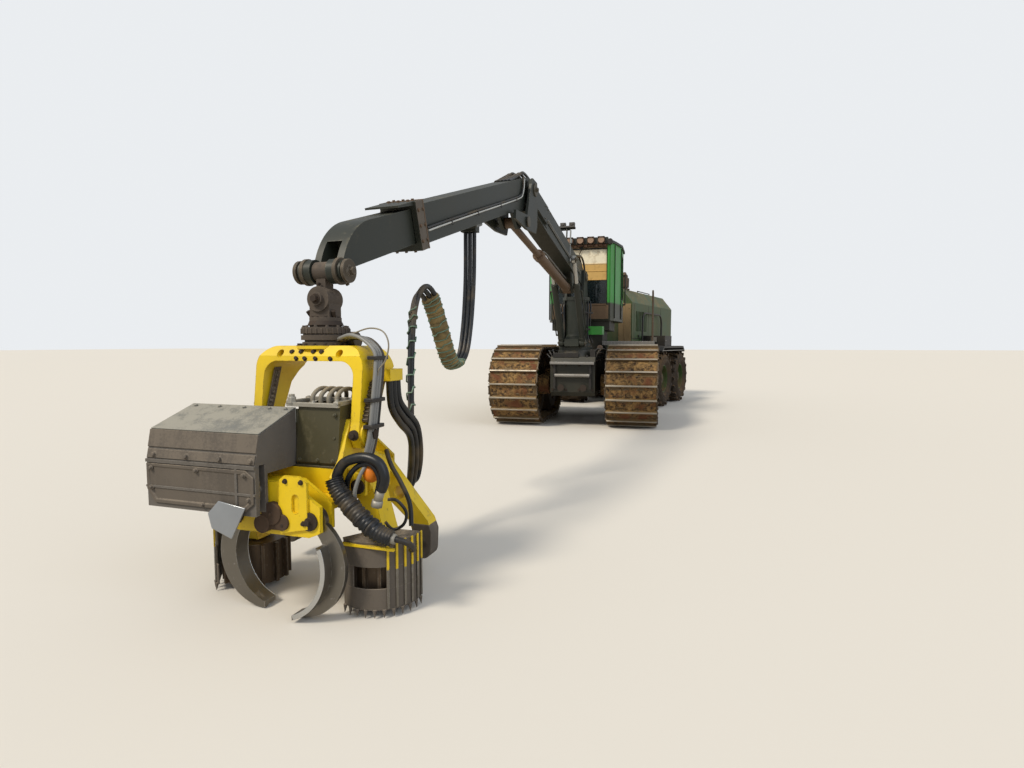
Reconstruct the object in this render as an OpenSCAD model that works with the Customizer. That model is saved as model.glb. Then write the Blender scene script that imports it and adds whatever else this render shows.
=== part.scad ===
// Eight-wheel forestry harvester, standing with its head on the ground in front.
// Millimetres. The machine faces -Y, its left side is +X, and the floor is at z = 0.

/* [Machine] */
// Distance from the front bogie pivot back to the articulation pin
joint_y = 2050; // [1950:10:2150]
// Distance from the articulation pin back to the rear bogie pivot
rear_bogie_y = 2000; // [1950:10:2100]
// Diameter of the hole in the towing lug at the rear
tow_d = 62; // [50:1:70]
// How far the rear frame is swung to the left, in degrees
articulation = 16; // [0:1:20]
// Distance between the two wheels of a bogie
bogie_base = 1500; // [1480:10:1560]
// Half the distance between the left and the right wheels
wheel_x = 1040; // [1020:5:1080]
// Wall thickness of the frame plates
plate = 25; // [16:1:30]

/* [Wheels and tracks] */
// Radius of a tyre over its lugs
tyre_r = 665; // [640:5:680]
// Width of a tyre
tyre_w = 700; // [660:10:720]
// Height of the tyre lugs
lug_h = 42; // [20:1:50]
// Number of lugs on each side of a tyre
lug_pairs = 18; // [16:1:20]
// Radius of the rim
rim_r = 340; // [320:5:350]
// Thickness of a track shoe plate
shoe_t = 25; // [18:1:32]
// Height of the bar that stands on a track shoe
grouser_h = 55; // [30:1:60]
// Width of a track over its side plates
track_w = 870; // [840:10:880]
// Number of shoes in one track
shoes = 32; // [28:1:36]

/* [Cab] */
// Height of the cab floor
cab_z = 1950; // [1900:10:2000]
// Height of the cab from floor to roof
cab_h = 1480; // [1400:10:1520]
// Width of the cab at its front
cab_w1 = 1150; // [1100:10:1200]
// Width of the cab at its rear
cab_w2 = 1460; // [1400:10:1500]
// Distance of the cab front from the front bogie pivot, rearwards
cab_y = -150; // [-180:10:-100]
// Length of the cab
cab_l = 1500; // [1400:10:1550]
// Thickness of the cab walls
cab_t = 50; // [40:1:60]

/* [Crane] */
// Distance of the crane column in front of the front bogie pivot
column_fwd = 750; // [720:10:780]
// How far the crane is slewed to the right, in degrees
slew = 4; // [0:1:10]
// Outer diameter of the crane column
column_d = 460; // [420:10:480]
// Height of the main boom hinge
hinge_z = 2720; // [2680:10:2760]
// Length of the main boom between its pins
boom_len = 3615; // [3550:5:3680]
// Angle of the main boom above the horizontal
boom_a = 10.8; // [8:0.2:14]
// Width of the main boom
boom_w = 260; // [240:10:280]
// Height of the tip pin above the ground
tip_height = 1938.2; // [1890:0.1:1990]
// Length of the jib box from the elbow pin to its open end
jib_len = 3190; // [3150:10:3250]
// Height of the jib box at its open end
jib_h = 300; // [290:5:320]
// Width of the jib box
jib_w = 250; // [240:5:280]
// Wall thickness of the jib box
jib_t = 14; // [10:1:16]
// Gap between the jib box and the extension inside it
slide_gap = 8; // [6:1:10]
// How far the extension stands out of the jib box
reach_out = 720; // [700:10:760]

/* [Head] */
// Diameter of the rotator
rotator_d = 290; // [270:5:310]
// Width of the tilt frame over its legs
tilt_w = 740; // [700:10:760]
// Height of the tilt hinge
tilt_z = 985; // [960:5:1000]
// Thickness of the knife blades
knife_t = 30; // [20:1:36]
// Diameter of the feed rollers over their studs
roller_d = 400; // [380:10:420]
// Width of the feed rollers
roller_w = 250; // [220:10:260]

/* [Clearances] */
// Running gap between pieces that turn on each other
gap = 6; // [5.5:0.5:8]
// Gap between a pin and its bore
pin_gap = 0.3; // [0.2:0.1:0.5]

/* [Hidden] */
$fn = 48;

// Where the machine stands so that the middle of its outline is at the origin
origin = [-393.8, 1325.4];

track_r = tyre_r + shoe_t + grouser_h;
front_z = track_r;
rear_z = tyre_r;
frame_x = 400;
frame_top = 1270;
frame_low = 560;
track_x = wheel_x;
web_t = 60;

green_dark = "#1f2a22";
green = "#2f9e3f";
olive = "#4a432a";
yellow = "#e8c01f";
steel = "#6d6760";
black = "#1c1c1c";
rubber = "#26231f";
glass = "#5b6a6c";
mud = "#8a7048";

// places

module on_front() {
    translate([origin[0], origin[1], 0])
        children();
}

module on_rear() {
    on_front()
        translate([0, joint_y, 0])
            rotate([0, 0, -articulation])
                children();
}

// x runs out along the crane, y to the machine's left, z up
module on_crane() {
    on_front()
        translate([0, -column_fwd, 0])
            rotate([0, 0, -90 - slew])
                children();
}

// shapes

// A plate profile in y and z, swept along x from x0 to x1
module slab_x(x0, x1, pts) {
    translate([x0, 0, 0])
        rotate([90, 0, 90])
            linear_extrude(x1 - x0)
                polygon(pts);
}

// A plate profile in x and z, swept along y from y0 to y1
module slab_y(y0, y1, pts) {
    translate([0, y1, 0])
        rotate([90, 0, 0])
            linear_extrude(y1 - y0)
                polygon(pts);
}

module box(lo, hi) {
    translate(lo)
        cube([hi[0] - lo[0], hi[1] - lo[1], hi[2] - lo[2]]);
}

// A round bar from y0 to y1 at x, z
module bar_y(x, z, d, y0, y1) {
    translate([x, y0, z])
        rotate([-90, 0, 0])
            cylinder(d = d, h = y1 - y0);
}

// A round bar from x0 to x1 at y, z
module bar_x_at(span, y, z, d) {
    translate([span[0], y, z])
        rotate([0, 90, 0])
            cylinder(d = d, h = span[1] - span[0]);
}

module bar_x(y, z, d, x0, x1) {
    translate([x0, y, z])
        rotate([0, 90, 0])
            cylinder(d = d, h = x1 - x0);
}

// A round bar from z0 to z1 at x, y
module bar_z(x, y, d, z0, z1) {
    translate([x, y, z0])
        cylinder(d = d, h = z1 - z0);
}

// wheels and tracks

// Tyre section as radius and half width, turned about the wheel's axle.
// The lugs stand in two rows of slanted bars that meet as a V.
lug_reach = 125;

module tyre(lugs) {
    carcass_r = tyre_r - (lugs ? lug_h : 8);
    shoulder = tyre_w / 2;
    rotate([0, 90, 0])
        rotate_extrude($fn = 48)
            polygon([[rim_r, -shoulder * 0.86], [rim_r + 60, -shoulder], [carcass_r - 80, -shoulder],
                [carcass_r, -shoulder + 70], [carcass_r + 8, 0], [carcass_r, shoulder - 70],
                [carcass_r - 80, shoulder], [rim_r + 60, shoulder], [rim_r, shoulder * 0.86]]);
    if (lugs)
        for (i = [0:lug_pairs - 1])
            for (s = [-1, 1])
                rotate([(i + (s > 0 ? 0.5 : 0)) * 360 / lug_pairs, 0, 0])
                    translate([0, 0, carcass_r - 30])
                        linear_extrude(sqrt(pow(tyre_r, 2) - pow(lug_reach, 2)) - carcass_r + 30)
                            polygon([[s * 5, 60], [s * 5, lug_reach], [s * (shoulder - 12), -15],
                                [s * (shoulder - 12), -85]]);
}

module rim() {
    w = tyre_w * 0.43;
    rotate([0, 90, 0])
        difference() {
            translate([0, 0, -w])
                cylinder(r = rim_r, h = 2 * w);
            translate([0, 0, web_t / 2])
                cylinder(r = rim_r - 30, h = w);
            translate([0, 0, -w - web_t / 2])
                cylinder(r = rim_r - 30, h = w);
        }
}

module wheels(z) {
    for (sx = [-1, 1])
        for (sy = [-1, 1])
            translate([sx * wheel_x, sy * bogie_base / 2, z])
                rotate([0, 0, sx > 0 ? 0 : 180])
                    children();
}

module front_tyres() {
    color(rubber)
        on_front()
            wheels(front_z)
                tyre(false);
}

module front_rims() {
    color(steel)
        on_front()
            wheels(front_z)
                rim();
}

// A loop of bogie track in the y-z plane: two half circles and two straights
module track_outline(r) {
    square([bogie_base, 2 * r], center = true);
    for (s = [-1, 1])
        translate([s * bogie_base / 2, 0])
            circle(r = r, $fn = 96);
}

// Place along the middle line of the loop: [y, z, outward angle]
function loop_at(s, r) =
    let (half = PI * r, u = s % (2 * (half + bogie_base)))
    u < bogie_base ? [-bogie_base / 2 + u, r, 90]
    : u < bogie_base + half ? let (a = 90 - (u - bogie_base) / r * 180 / PI)
        [bogie_base / 2 + r * cos(a), r * sin(a), a]
    : u < 2 * bogie_base + half ? [bogie_base / 2 - (u - bogie_base - half), -r, -90]
    : let (a = -90 - (u - 2 * bogie_base - half) / r * 180 / PI)
        [-bogie_base / 2 + r * cos(a), r * sin(a), a];

module track() {
    pitch = 2 * (PI * tyre_r + bogie_base) / shoes;
    band_w = 60;
    bar_w = track_w - 2;
    plate_l = pitch * 0.62;
    rotate([90, 0, 90]) {
        for (s = [-1, 1])
            translate([0, 0, s * (track_w / 2 - band_w / 2) - band_w / 2])
                linear_extrude(band_w)
                    difference() {
                        track_outline(tyre_r + shoe_t);
                        track_outline(tyre_r + pin_gap);
                    }
        for (i = [0:shoes - 1]) {
            p = loop_at((i + 0.5) * pitch, tyre_r);
            translate([p[0], p[1], 0])
                rotate([0, 0, p[2]])
                    translate([0, 0, -track_w / 2 + 1])
                        linear_extrude(bar_w)
                            polygon([[pin_gap, -plate_l / 2], [shoe_t - 2, -plate_l / 2], [shoe_t - 2, -18],
                                [shoe_t + grouser_h, -11], [shoe_t + grouser_h, 11], [shoe_t - 2, 18],
                                [shoe_t - 2, plate_l / 2], [pin_gap, plate_l / 2]]);
        }
    }
}

module track_left() {
    color(mud)
        on_front()
            translate([track_x, 0, front_z])
                track();
}

module track_right() {
    color(mud)
        on_front()
            translate([-track_x, 0, front_z])
                track();
}

// front frame

module bogies(z, hub_gap) {
    hub_end = wheel_x - web_t / 2 - hub_gap;
    inner = wheel_x - tyre_w / 2 - 20;
    case_w = 190;
    for (s = [-1, 1]) {
        x0 = s > 0 ? inner - case_w : -inner;
        slab_x(x0, x0 + case_w, [[-bogie_base / 2 - 170, z - 110], [-bogie_base / 2 - 60, z - 175],
            [bogie_base / 2 + 60, z - 175], [bogie_base / 2 + 170, z - 110],
            [bogie_base / 2 + 170, z + 110], [bogie_base / 2 + 60, z + 175], [260, z + 190],
            [160, z + 260], [-160, z + 260], [-260, z + 190], [-bogie_base / 2 - 60, z + 175],
            [-bogie_base / 2 - 170, z + 110]]);
        for (t = [-1, 1])
            bar_x(t * bogie_base / 2, z, 300, s > 0 ? inner : -hub_end, s > 0 ? hub_end : -inner);
    }
    bar_x(0, z, 330, -inner + case_w, -frame_x);
    bar_x(0, z, 330, frame_x, inner - case_w);
}

module front_bogies() {
    color(green_dark)
        on_front()
            bogies(front_z, 0);
}

module front_frame() {
    color(green_dark)
        on_front() {
            slab_x(-frame_x, frame_x, [[-1180, 640], [-1080, frame_low], [900, frame_low],
                [1250, 700], [1500, 760], [1500, 1180], [1100, frame_top], [-1120, frame_top],
                [-1180, 1180]]);
            // the yoke whose two plates hold the articulation pin
            for (z = [760, 1120])
                difference() {
                    union() {
                        box([-220, 1480, z], [220, joint_y, z + 60]);
                        translate([0, joint_y, z])
                            cylinder(d = 440, h = 60);
                    }
                    translate([0, joint_y, z - 1])
                        cylinder(d = 140 + 2 * pin_gap, h = 62);
                }
            // the pedestal of the crane
            translate([0, -column_fwd, frame_top - 5])
                cylinder(d1 = 700, d2 = 640, h = 125);
            // the stand of the cab
            box([-420, 0, frame_top - 5], [420, 1150, cab_z - 180]);
            box([-560, -100, cab_z - 185], [560, 1300, cab_z]);
        }
}

module nose_guard() {
    color(black)
        on_front() {
            box([-390, -1290, 1140], [390, -1180, 1180]);
            box([-340, -1230, 700], [-300, -1180, 1140]);
            box([300, -1230, 700], [340, -1180, 1140]);
            bar_x(-1240, 940, 60, -320, 320);
        }
}

// cab

// Plan of the cab, narrower in front: inset moves every wall inwards
module cab_plan(inset) {
    f = cab_w1 / 2 - inset;
    r = cab_w2 / 2 - inset;
    polygon([[-f, cab_y + inset], [f, cab_y + inset], [f + 60, cab_y + 200], [r, cab_y + 700],
        [r, cab_y + cab_l - inset], [-r, cab_y + cab_l - inset], [-r, cab_y + 700],
        [-f - 60, cab_y + 200]]);
}

// Where a side window or the doorway lies: y0, y1, z0, z1
door_open = [cab_y + 720, cab_y + cab_l - 90, cab_z + 60, cab_z + cab_h - 70];

module cab_windows(grow) {
    // front window
    box([-cab_w1 / 2 + 70 - grow, cab_y - 10, cab_z + 330 - grow],
        [cab_w1 / 2 - 70 + grow, cab_y + cab_t + 10, cab_z + cab_h - 110 + grow]);
    // rear window
    box([-cab_w2 / 2 + 160 - grow, cab_y + cab_l - cab_t - 10, cab_z + 700 - grow],
        [cab_w2 / 2 - 160 + grow, cab_y + cab_l + 10, cab_z + cab_h - 130 + grow]);
    // right window
    box([-cab_w2 / 2 - 10, cab_y + 760 - grow, cab_z + 420 - grow],
        [-cab_w2 / 2 + cab_t + 10, cab_y + cab_l - 120 + grow, cab_z + cab_h - 110 + grow]);
}

module cab_shell() {
    color(green)
        on_front()
            difference() {
                union() {
                    translate([0, 0, cab_z])
                        linear_extrude(cab_h)
                            cab_plan(0);
                    // the sill below the front window and the trim of its posts
                    box([-cab_w1 / 2 + 30, cab_y - 25, cab_z + 20],
                        [cab_w1 / 2 - 30, cab_y + 5, cab_z + 310]);
                    for (s = [-1, 1])
                        box([s > 0 ? cab_w1 / 2 - 60 : 20 - cab_w1 / 2, cab_y - 20, cab_z + 300],
                            [s > 0 ? cab_w1 / 2 - 20 : 60 - cab_w1 / 2, cab_y + 5, cab_z + cab_h - 40]);
                }
                translate([0, 0, cab_z + cab_t])
                    linear_extrude(cab_h)
                        cab_plan(cab_t);
                cab_windows(0);
                box([cab_w2 / 2 - cab_t - 10, door_open[0], door_open[2]],
                    [cab_w2 / 2 + 10, door_open[1], door_open[3]]);
            }
}

module cab_glass() {
    t = 8;
    color(glass)
        on_front() {
            box([-cab_w1 / 2 + 70, cab_y + 20, cab_z + 330],
                [cab_w1 / 2 - 70, cab_y + 20 + t, cab_z + cab_h - 110]);
            box([-cab_w2 / 2 + 160, cab_y + cab_l - 30, cab_z + 700],
                [cab_w2 / 2 - 160, cab_y + cab_l - 30 + t, cab_z + cab_h - 130]);
            box([-cab_w2 / 2 + 20, cab_y + 760, cab_z + 420],
                [-cab_w2 / 2 + 20 + t, cab_y + cab_l - 120, cab_z + cab_h - 110]);
        }
}

module cab_roof() {
    color(green_dark)
        on_front() {
            translate([0, 0, cab_z + cab_h])
                linear_extrude(45)
                    cab_plan(-30);
            translate([0, 0, cab_z + cab_h + 44])
                linear_extrude(35)
                    cab_plan(60);
            // the brow that carries the lamps
            slab_y(cab_y - 60, cab_y - 28, [[-cab_w1 / 2 + 20, cab_z + cab_h - 20],
                [cab_w1 / 2 - 20, cab_z + cab_h - 20], [cab_w1 / 2 - 50, cab_z + cab_h + 100],
                [-cab_w1 / 2 + 50, cab_z + cab_h + 100]]);
        }
}

module cab_lamps() {
    color(steel)
        on_front()
            for (i = [0:4])
                translate([-400 + i * 200, cab_y - 60 - pin_gap, cab_z + cab_h + 40])
                    rotate([90, 0, 0]) {
                        cylinder(d = 70, h = 30);
                        translate([0, 0, 25])
                            cylinder(d1 = 90, d2 = 130, h = 40);
                    }
}

module cab_seat() {
    color(black)
        on_front() {
            box([-130, cab_y + 560, cab_z + cab_t], [130, cab_y + 860, cab_z + 380]);
            box([-260, cab_y + 470, cab_z + 380], [260, cab_y + 980, cab_z + 500]);
            slab_x(-250, 250, [[cab_y + 900, cab_z + 500], [cab_y + 1000, cab_z + 500],
                [cab_y + 1120, cab_z + 1200], [cab_y + 1020, cab_z + 1200]]);
        }
}

module cab_door() {
    t = 40;
    color(green)
        on_front() {
            difference() {
                box([cab_w2 / 2 - t, door_open[0] + gap, door_open[2] + gap],
                    [cab_w2 / 2, door_open[1] - gap, door_open[3] - gap]);
                box([cab_w2 / 2 - t - 1, door_open[0] + 70, door_open[2] + 420],
                    [cab_w2 / 2 + 1, door_open[1] - 70, door_open[3] - 70]);
            }
            // the hinge leaves that meet the door post
            for (z = [door_open[2] + 150, door_open[3] - 250])
                box([cab_w2 / 2 - 15, door_open[0] + pin_gap, z],
                    [cab_w2 / 2, door_open[0] + gap + 5, z + 100]);
        }
}

module cab_door_glass() {
    color(glass)
        on_front()
            box([cab_w2 / 2 - 24, door_open[0] + 70, door_open[2] + 420],
                [cab_w2 / 2 - 16, door_open[1] - 70, door_open[3] - 70]);
}

// The green cover of the slewing motor, at the side of the column
module column_box() {
    color(green)
        on_crane()
            difference() {
                box([-110, 150, 1670], [90, 500, 1820]);
                cylinder(d = column_d + 2 * pin_gap, h = 3000);
            }
}

module cab_steps() {
    color(steel)
        on_front() {
            box([420, -150, 1500], [1400, 1250, 1540]);
            // handrails at the outer edge, in front of the door's swing and behind it
            for (y = [-100, 480, 1050, 1180])
                bar_z(1370, y, 34, 1540, 2500);
            bar_y(1370, 2500, 34, -117, 497);
            bar_y(1370, 2500, 34, 1033, 1197);
        }
}

// rear frame: y = 0 at the articulation pin

hood_y0 = 560;
hood_y1 = 4050;
deck_x = 650;
tow_y = 4240;
tow_z = 860;
tow_t = 60;
deck_z = 1240;
hood_x1 = 590;
hood_x2 = 760;
hood_top = 2800;

// The hood's hinge: places across, and the pin in y and z
hood_pins = [-380, 380];
hood_pin = [hood_y1 + 35, deck_z + 25];
hood_pin_d = 40;

module rear_frame() {
    y0 = 520;
    color(green_dark)
        on_rear() {
            slab_x(-frame_x, frame_x, [[y0, 760], [y0 + 500, 600], [3900, 600], [4150, 760],
                [4150, 1180], [y0, 1180]]);
            box([-200, 0, 820 + gap], [200, y0 + 10, 1120 - gap]);
            translate([0, 0, 820 + gap])
                cylinder(d = 400, h = 300 - 2 * gap);
            translate([0, 0, 740])
                cylinder(d = 140, h = 460);
            box([-deck_x, hood_y0, 1170], [deck_x, hood_y1, deck_z]);
            // the hinge of the hood
            for (x = hood_pins) {
                box([x - 35, hood_pin[0] - 28, 1170], [x + 35, hood_pin[0] + 28, hood_pin[1]]);
                bar_x(hood_pin[0], hood_pin[1], 56, x - 35, x + 35);
                bar_x(hood_pin[0], hood_pin[1], hood_pin_d, x - 75, x + 75);
            }
            // the towing lug
            difference() {
                union() {
                    box([-110, 4100, tow_z], [110, tow_y, tow_z + tow_t]);
                    bar_z(0, tow_y, 220, tow_z, tow_z + tow_t);
                }
                bar_z(0, tow_y, tow_d, tow_z - 1, tow_z + tow_t + 1);
            }
        }
}

module rear_bogies() {
    color(green_dark)
        on_rear()
            translate([0, rear_bogie_y, 0])
                bogies(rear_z, pin_gap);
}

module at_rear_wheel(sx, sy) {
    on_rear()
        translate([sx * wheel_x, rear_bogie_y + sy * bogie_base / 2, rear_z])
            rotate([0, 0, sx > 0 ? 0 : 180])
                children();
}

module rear_tyre(sx, sy) {
    color(rubber)
        at_rear_wheel(sx, sy)
            tyre(true);
}

module rear_rim(sx, sy) {
    color(green)
        at_rear_wheel(sx, sy)
            rim();
}

// Section of the hood in x and z: narrow between the wheels and wide above them
module hood_section(y0, y1, t) {
    slab_y(y0, y1, [[-hood_x1 + t, deck_z + pin_gap - t], [hood_x1 - t, deck_z + pin_gap - t],
        [hood_x1 - t, 1480 + t], [hood_x2 - t, 1520 + t], [hood_x2 - t, hood_top - 330 - t / 2],
        [hood_x2 - 260, hood_top - t], [-hood_x2 + 260, hood_top - t],
        [-hood_x2 + t, hood_top - 330 - t / 2], [-hood_x2 + t, 1520 + t], [-hood_x1 + t, 1480 + t]]);
}

module hood() {
    color(green_dark)
        on_rear()
            difference() {
                hood_section(hood_y0, hood_y1, 0);
                hood_section(hood_y0 + 40, hood_y1 - 40, 40);
                // the rear opening of the cooler and the side vents
                box([-480, hood_y1 - 60, 1560], [480, hood_y1 + 10, 2420]);
                for (s = [-1, 1])
                    for (i = [0:7])
                        box([s > 0 ? hood_x2 - 60 : -hood_x2 - 10, hood_y0 + 300 + i * 110, 1800],
                            [s > 0 ? hood_x2 + 10 : -hood_x2 + 60, hood_y0 + 360 + i * 110, 2280]);
            }
    color(green_dark)
        on_rear()
            for (x = hood_pins)
                difference() {
                    for (side = [-68, 38])
                        slab_x(x + side, x + side + 30, [[hood_y1 - 5, deck_z + 10],
                            [hood_pin[0] + 20, hood_pin[1] - 22], [hood_pin[0] + 30, hood_pin[1] + 10],
                            [hood_y1 + 8, deck_z + 140], [hood_y1 - 5, deck_z + 140]]);
                    bar_x(hood_pin[0], hood_pin[1], hood_pin_d + 2 * pin_gap, x - 90, x + 90);
                }
}

// The cooler grille: a frame with upright slats
module rear_grille() {
    slats = 15;
    pitch = 920 / slats;
    color(black)
        on_rear() {
            difference() {
                box([-480 + pin_gap, hood_y1 - 30, 1560 + pin_gap], [480 - pin_gap, hood_y1 - 5, 2420 - pin_gap]);
                box([-450, hood_y1 - 40, 1590], [450, hood_y1 + 5, 2390]);
            }
            for (i = [0:slats - 1])
                box([-460 + (i + 0.5) * pitch - 9, hood_y1 - 28, 1580],
                    [-460 + (i + 0.5) * pitch + 9, hood_y1 - 8, 2400]);
        }
}

module exhaust() {
    color(steel)
        on_rear() {
            translate([430, 1000, hood_top + pin_gap])
                cylinder(d = 220, h = 30);
            translate([430, 1000, hood_top + 20])
                cylinder(d = 130, h = 330);
            translate([430, 1000, hood_top + 80])
                cylinder(d = 190, h = 200);
        }
}

// Bent rails that stand on the fenders beside the hood
module rear_rails() {
    bend_r = 240;
    top = 2250;
    color(black)
        on_rear()
            for (s = [-1, 1])
                translate([s * (hood_x2 + 70), 0, 0]) {
                    for (e = [[1150, 1], [2800, -1]])
                        translate([0, e[0], 0]) {
                            bar_z(0, 0, 42, 1450 + pin_gap, top - bend_r);
                            translate([0, e[1] * bend_r, top - bend_r])
                                rotate([90, 0, e[1] > 0 ? -90 : 90])
                                    rotate_extrude(angle = 90)
                                        translate([bend_r, 0])
                                            circle(d = 42);
                        }
                    bar_y(0, top, 42, 1150 + bend_r, 2800 - bend_r);
                }
}

module engine_block() {
    color(steel)
        on_rear()
            box([-350, 1500, deck_z], [350, 2900, 2150]);
}

module rear_fenders() {
    color(black)
        on_rear()
            for (s = [-1, 1]) {
                slab_x(s > 0 ? 604 : -1390, s > 0 ? 1390 : -604, [[950, 1300], [1100, 1400], [2900, 1400],
                    [3050, 1300], [3070, 1340], [2920, 1450], [1080, 1450], [930, 1340]]);
                box([s > 0 ? 800 : -1340, 1300, 1449], [s > 0 ? 1340 : -800, 1900, 1700]);
                box([s > 0 ? 604 : -deck_x, 1940, deck_z], [s > 0 ? deck_x : -604, 2060, 1400]);
            }
}

// crane, in the crane's own frame

elbow = [boom_len * cos(boom_a), hinge_z + boom_len * sin(boom_a)];

// The tip pin, measured along the jib and across it
tip_s = jib_len + reach_out + 330;
tip_t = -120;
// The angle of the jib below the horizontal that brings the tip pin to its height
jib_a = asin((elbow[1] - tip_height) / norm([tip_s, tip_t])) - atan2(-tip_t, tip_s);

// x runs along the main boom from its hinge
module on_boom() {
    on_crane()
        translate([0, 0, hinge_z])
            rotate([0, -boom_a, 0])
                children();
}

// x runs along the jib from the elbow pin
module on_jib() {
    on_crane()
        translate([elbow[0], 0, elbow[1]])
            rotate([0, jib_a, 0])
                children();
}

pin_d = 80;
fork_t = 40;

// Two ears on either side of an eye, and the pin between them
module ears(pts, at, half, t) {
    for (s = [-1, 1])
        slab_y(s > 0 ? half + gap : -half - gap - t, s > 0 ? half + gap + t : -half - gap, pts);
    bar_y(at[0], at[1], pin_d, -half - gap - t, half + gap + t);
}

module column() {
    foot = frame_top + 120 + pin_gap;
    color(green_dark)
        on_crane() {
            translate([0, 0, foot])
                cylinder(d = 620, h = 55);
            translate([0, 0, foot + 50])
                cylinder(d1 = column_d + 90, d2 = column_d, h = 230);
            translate([0, 0, foot + 280])
                cylinder(d = column_d, h = hinge_z - foot - 660);
            // the crown below the ears
            translate([0, 0, hinge_z - 430])
                cylinder(d = column_d + 30, h = 60);
            // ribs on both sides
            for (s = [-1, 1])
                slab_y(s > 0 ? column_d / 2 - 60 : 30 - column_d / 2,
                    s > 0 ? column_d / 2 - 30 : 60 - column_d / 2,
                    [[-190, foot + 50], [250, foot + 50], [190, hinge_z - 420], [-190, hinge_z - 420]]);
            ears([[-220, hinge_z - 430], [220, hinge_z - 430], [120, hinge_z + 110],
                [-120, hinge_z + 110]], [0, hinge_z], boom_w / 2, fork_t);
            // the lug and the pin of the lift cylinders
            slab_y(-lift_y + 65, lift_y - 65, [[150, foot + 20],
                [lift_foot[0] + 70, lift_foot[1] - 60], [lift_foot[0] + 70, lift_foot[1] + 60],
                [150, lift_foot[1] + 160]]);
            bar_y(lift_foot[0], lift_foot[1], pin_d + 25, -lift_y + 30 + pin_gap, lift_y - 30 - pin_gap);
            bar_y(lift_foot[0], lift_foot[1], pin_d, -lift_y - 40, lift_y + 40);
        }
}

// The two lift cylinders stand at lift_y on either side of the crane's middle
lift_y = 192;
lift_foot = [330, 1520];
// their eyes beside the boom, along it and below its middle
lift_eye = [1150, -60];
lift_top = [lift_eye[0] * cos(boom_a) - lift_eye[1] * sin(boom_a),
    hinge_z + lift_eye[0] * sin(boom_a) + lift_eye[1] * cos(boom_a)];

// x runs from the foot of a cylinder to its eye
module along(a, b) {
    on_crane()
        translate([a[0], 0, a[1]])
            rotate([0, -atan2(b[1] - a[1], b[0] - a[0]), 0])
                children();
}

function dist(a, b) = sqrt(pow(b[0] - a[0], 2) + pow(b[1] - a[1], 2));

// A cylinder barrel of length len, bored for its rod, with an eye at x = 0
module barrel(d, rod_d, len, eye_w) {
    difference() {
        union() {
            translate([60, 0, 0])
                rotate([0, 90, 0])
                    cylinder(d = d, h = len - 60);
            rotate([90, 0, 0])
                cylinder(d = 150, h = eye_w, center = true);
            translate([0, -eye_w / 2, -50])
                cube([80, eye_w, 100]);
        }
        rotate([90, 0, 0])
            cylinder(d = pin_d + 2 * pin_gap, h = eye_w + 2, center = true);
        translate([140, 0, 0])
            rotate([0, 90, 0])
                cylinder(d = rod_d + 1, h = len);
    }
}

// A rod from x0 to the eye at x1
module rod(d, x0, x1, eye_w) {
    translate([x0, 0, 0])
        rotate([0, 90, 0])
            cylinder(d = d, h = x1 - x0);
    translate([x1, 0, 0])
        rotate([90, 0, 0])
            cylinder(d = 130, h = eye_w, center = true);
}

lift_len = dist(lift_foot, lift_top);
lift_barrel_len = 1150;

module lift_barrel() {
    color(green_dark)
        along(lift_foot, lift_top)
            for (s = [-1, 1])
                translate([0, s * lift_y, 0])
                    barrel(110, 70, lift_barrel_len, 60);
}

module lift_rod() {
    color(steel)
        along(lift_foot, lift_top)
            for (s = [-1, 1])
                translate([0, s * lift_y, 0])
                    rod(70, 560, lift_len, 50);
}

// The jib cylinder hangs below the main boom. Its foot lies along the boom and below
// its middle, and its eye lies out from the elbow pin and below it.
link_r = 330;
link_z = -450;
jib_foot_b = [700, -420];
jib_foot = [jib_foot_b[0] * cos(boom_a) - jib_foot_b[1] * sin(boom_a),
    hinge_z + jib_foot_b[0] * sin(boom_a) + jib_foot_b[1] * cos(boom_a)];
jib_eye = [elbow[0] + link_r, elbow[1] + link_z];
jib_eye_j = [link_r * cos(jib_a) - link_z * sin(jib_a), link_r * sin(jib_a) + link_z * cos(jib_a)];
jib_cyl_len = dist(jib_foot, jib_eye);
jib_barrel_len = 1900;

module main_boom() {
    w = boom_w / 2;
    color(green_dark)
        on_boom() {
            difference() {
                slab_y(-w, w, [[-150, -120], [150, -170], [2600, -175], [boom_len - 260, -150],
                    [boom_len - 260, 150], [2600, 175], [300, 175], [-150, 110]]);
                bar_y(0, 0, pin_d + 2 * pin_gap, -300, 300);
            }
            // the ears and the pin of the jib cylinder
            ears([[jib_foot_b[0] - 190, -160], [jib_foot_b[0] - 80, jib_foot_b[1] - 45],
                [jib_foot_b[0], jib_foot_b[1] - 75], [jib_foot_b[0] + 80, jib_foot_b[1] - 25],
                [jib_foot_b[0] + 210, -160]], jib_foot_b, 70, 30);
            // the bracket on top that holds hoses, with a cross bar, and the guide by the elbow
            for (s = [-1, 1])
                box([1180, s > 0 ? 60 : -72, 150], [1240, s > 0 ? 72 : -60, 470]);
            bar_y(1210, 440, 36, -120, 120);
            box([1150, -110, 150], [1270, 110, 185]);
            difference() {
                box([boom_len - 430, -115, 140], [boom_len - 320, 115, 235]);
                for (y = [-80, -27, 27, 80])
                    bar_x_at([boom_len - 440, boom_len - 310], y, 205, 42);
            }
            // the fork of the elbow
            difference() {
                for (s = [-1, 1])
                    slab_y(s > 0 ? w : -w - fork_t, s > 0 ? w + fork_t : -w,
                        [[boom_len - 800, -120], [boom_len + 60, -110], [boom_len + 120, 0],
                        [boom_len + 60, 110], [boom_len - 800, 120]]);
                bar_y(boom_len, 0, pin_d + 2 * pin_gap, -300, 300);
            }
        }
}

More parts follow.
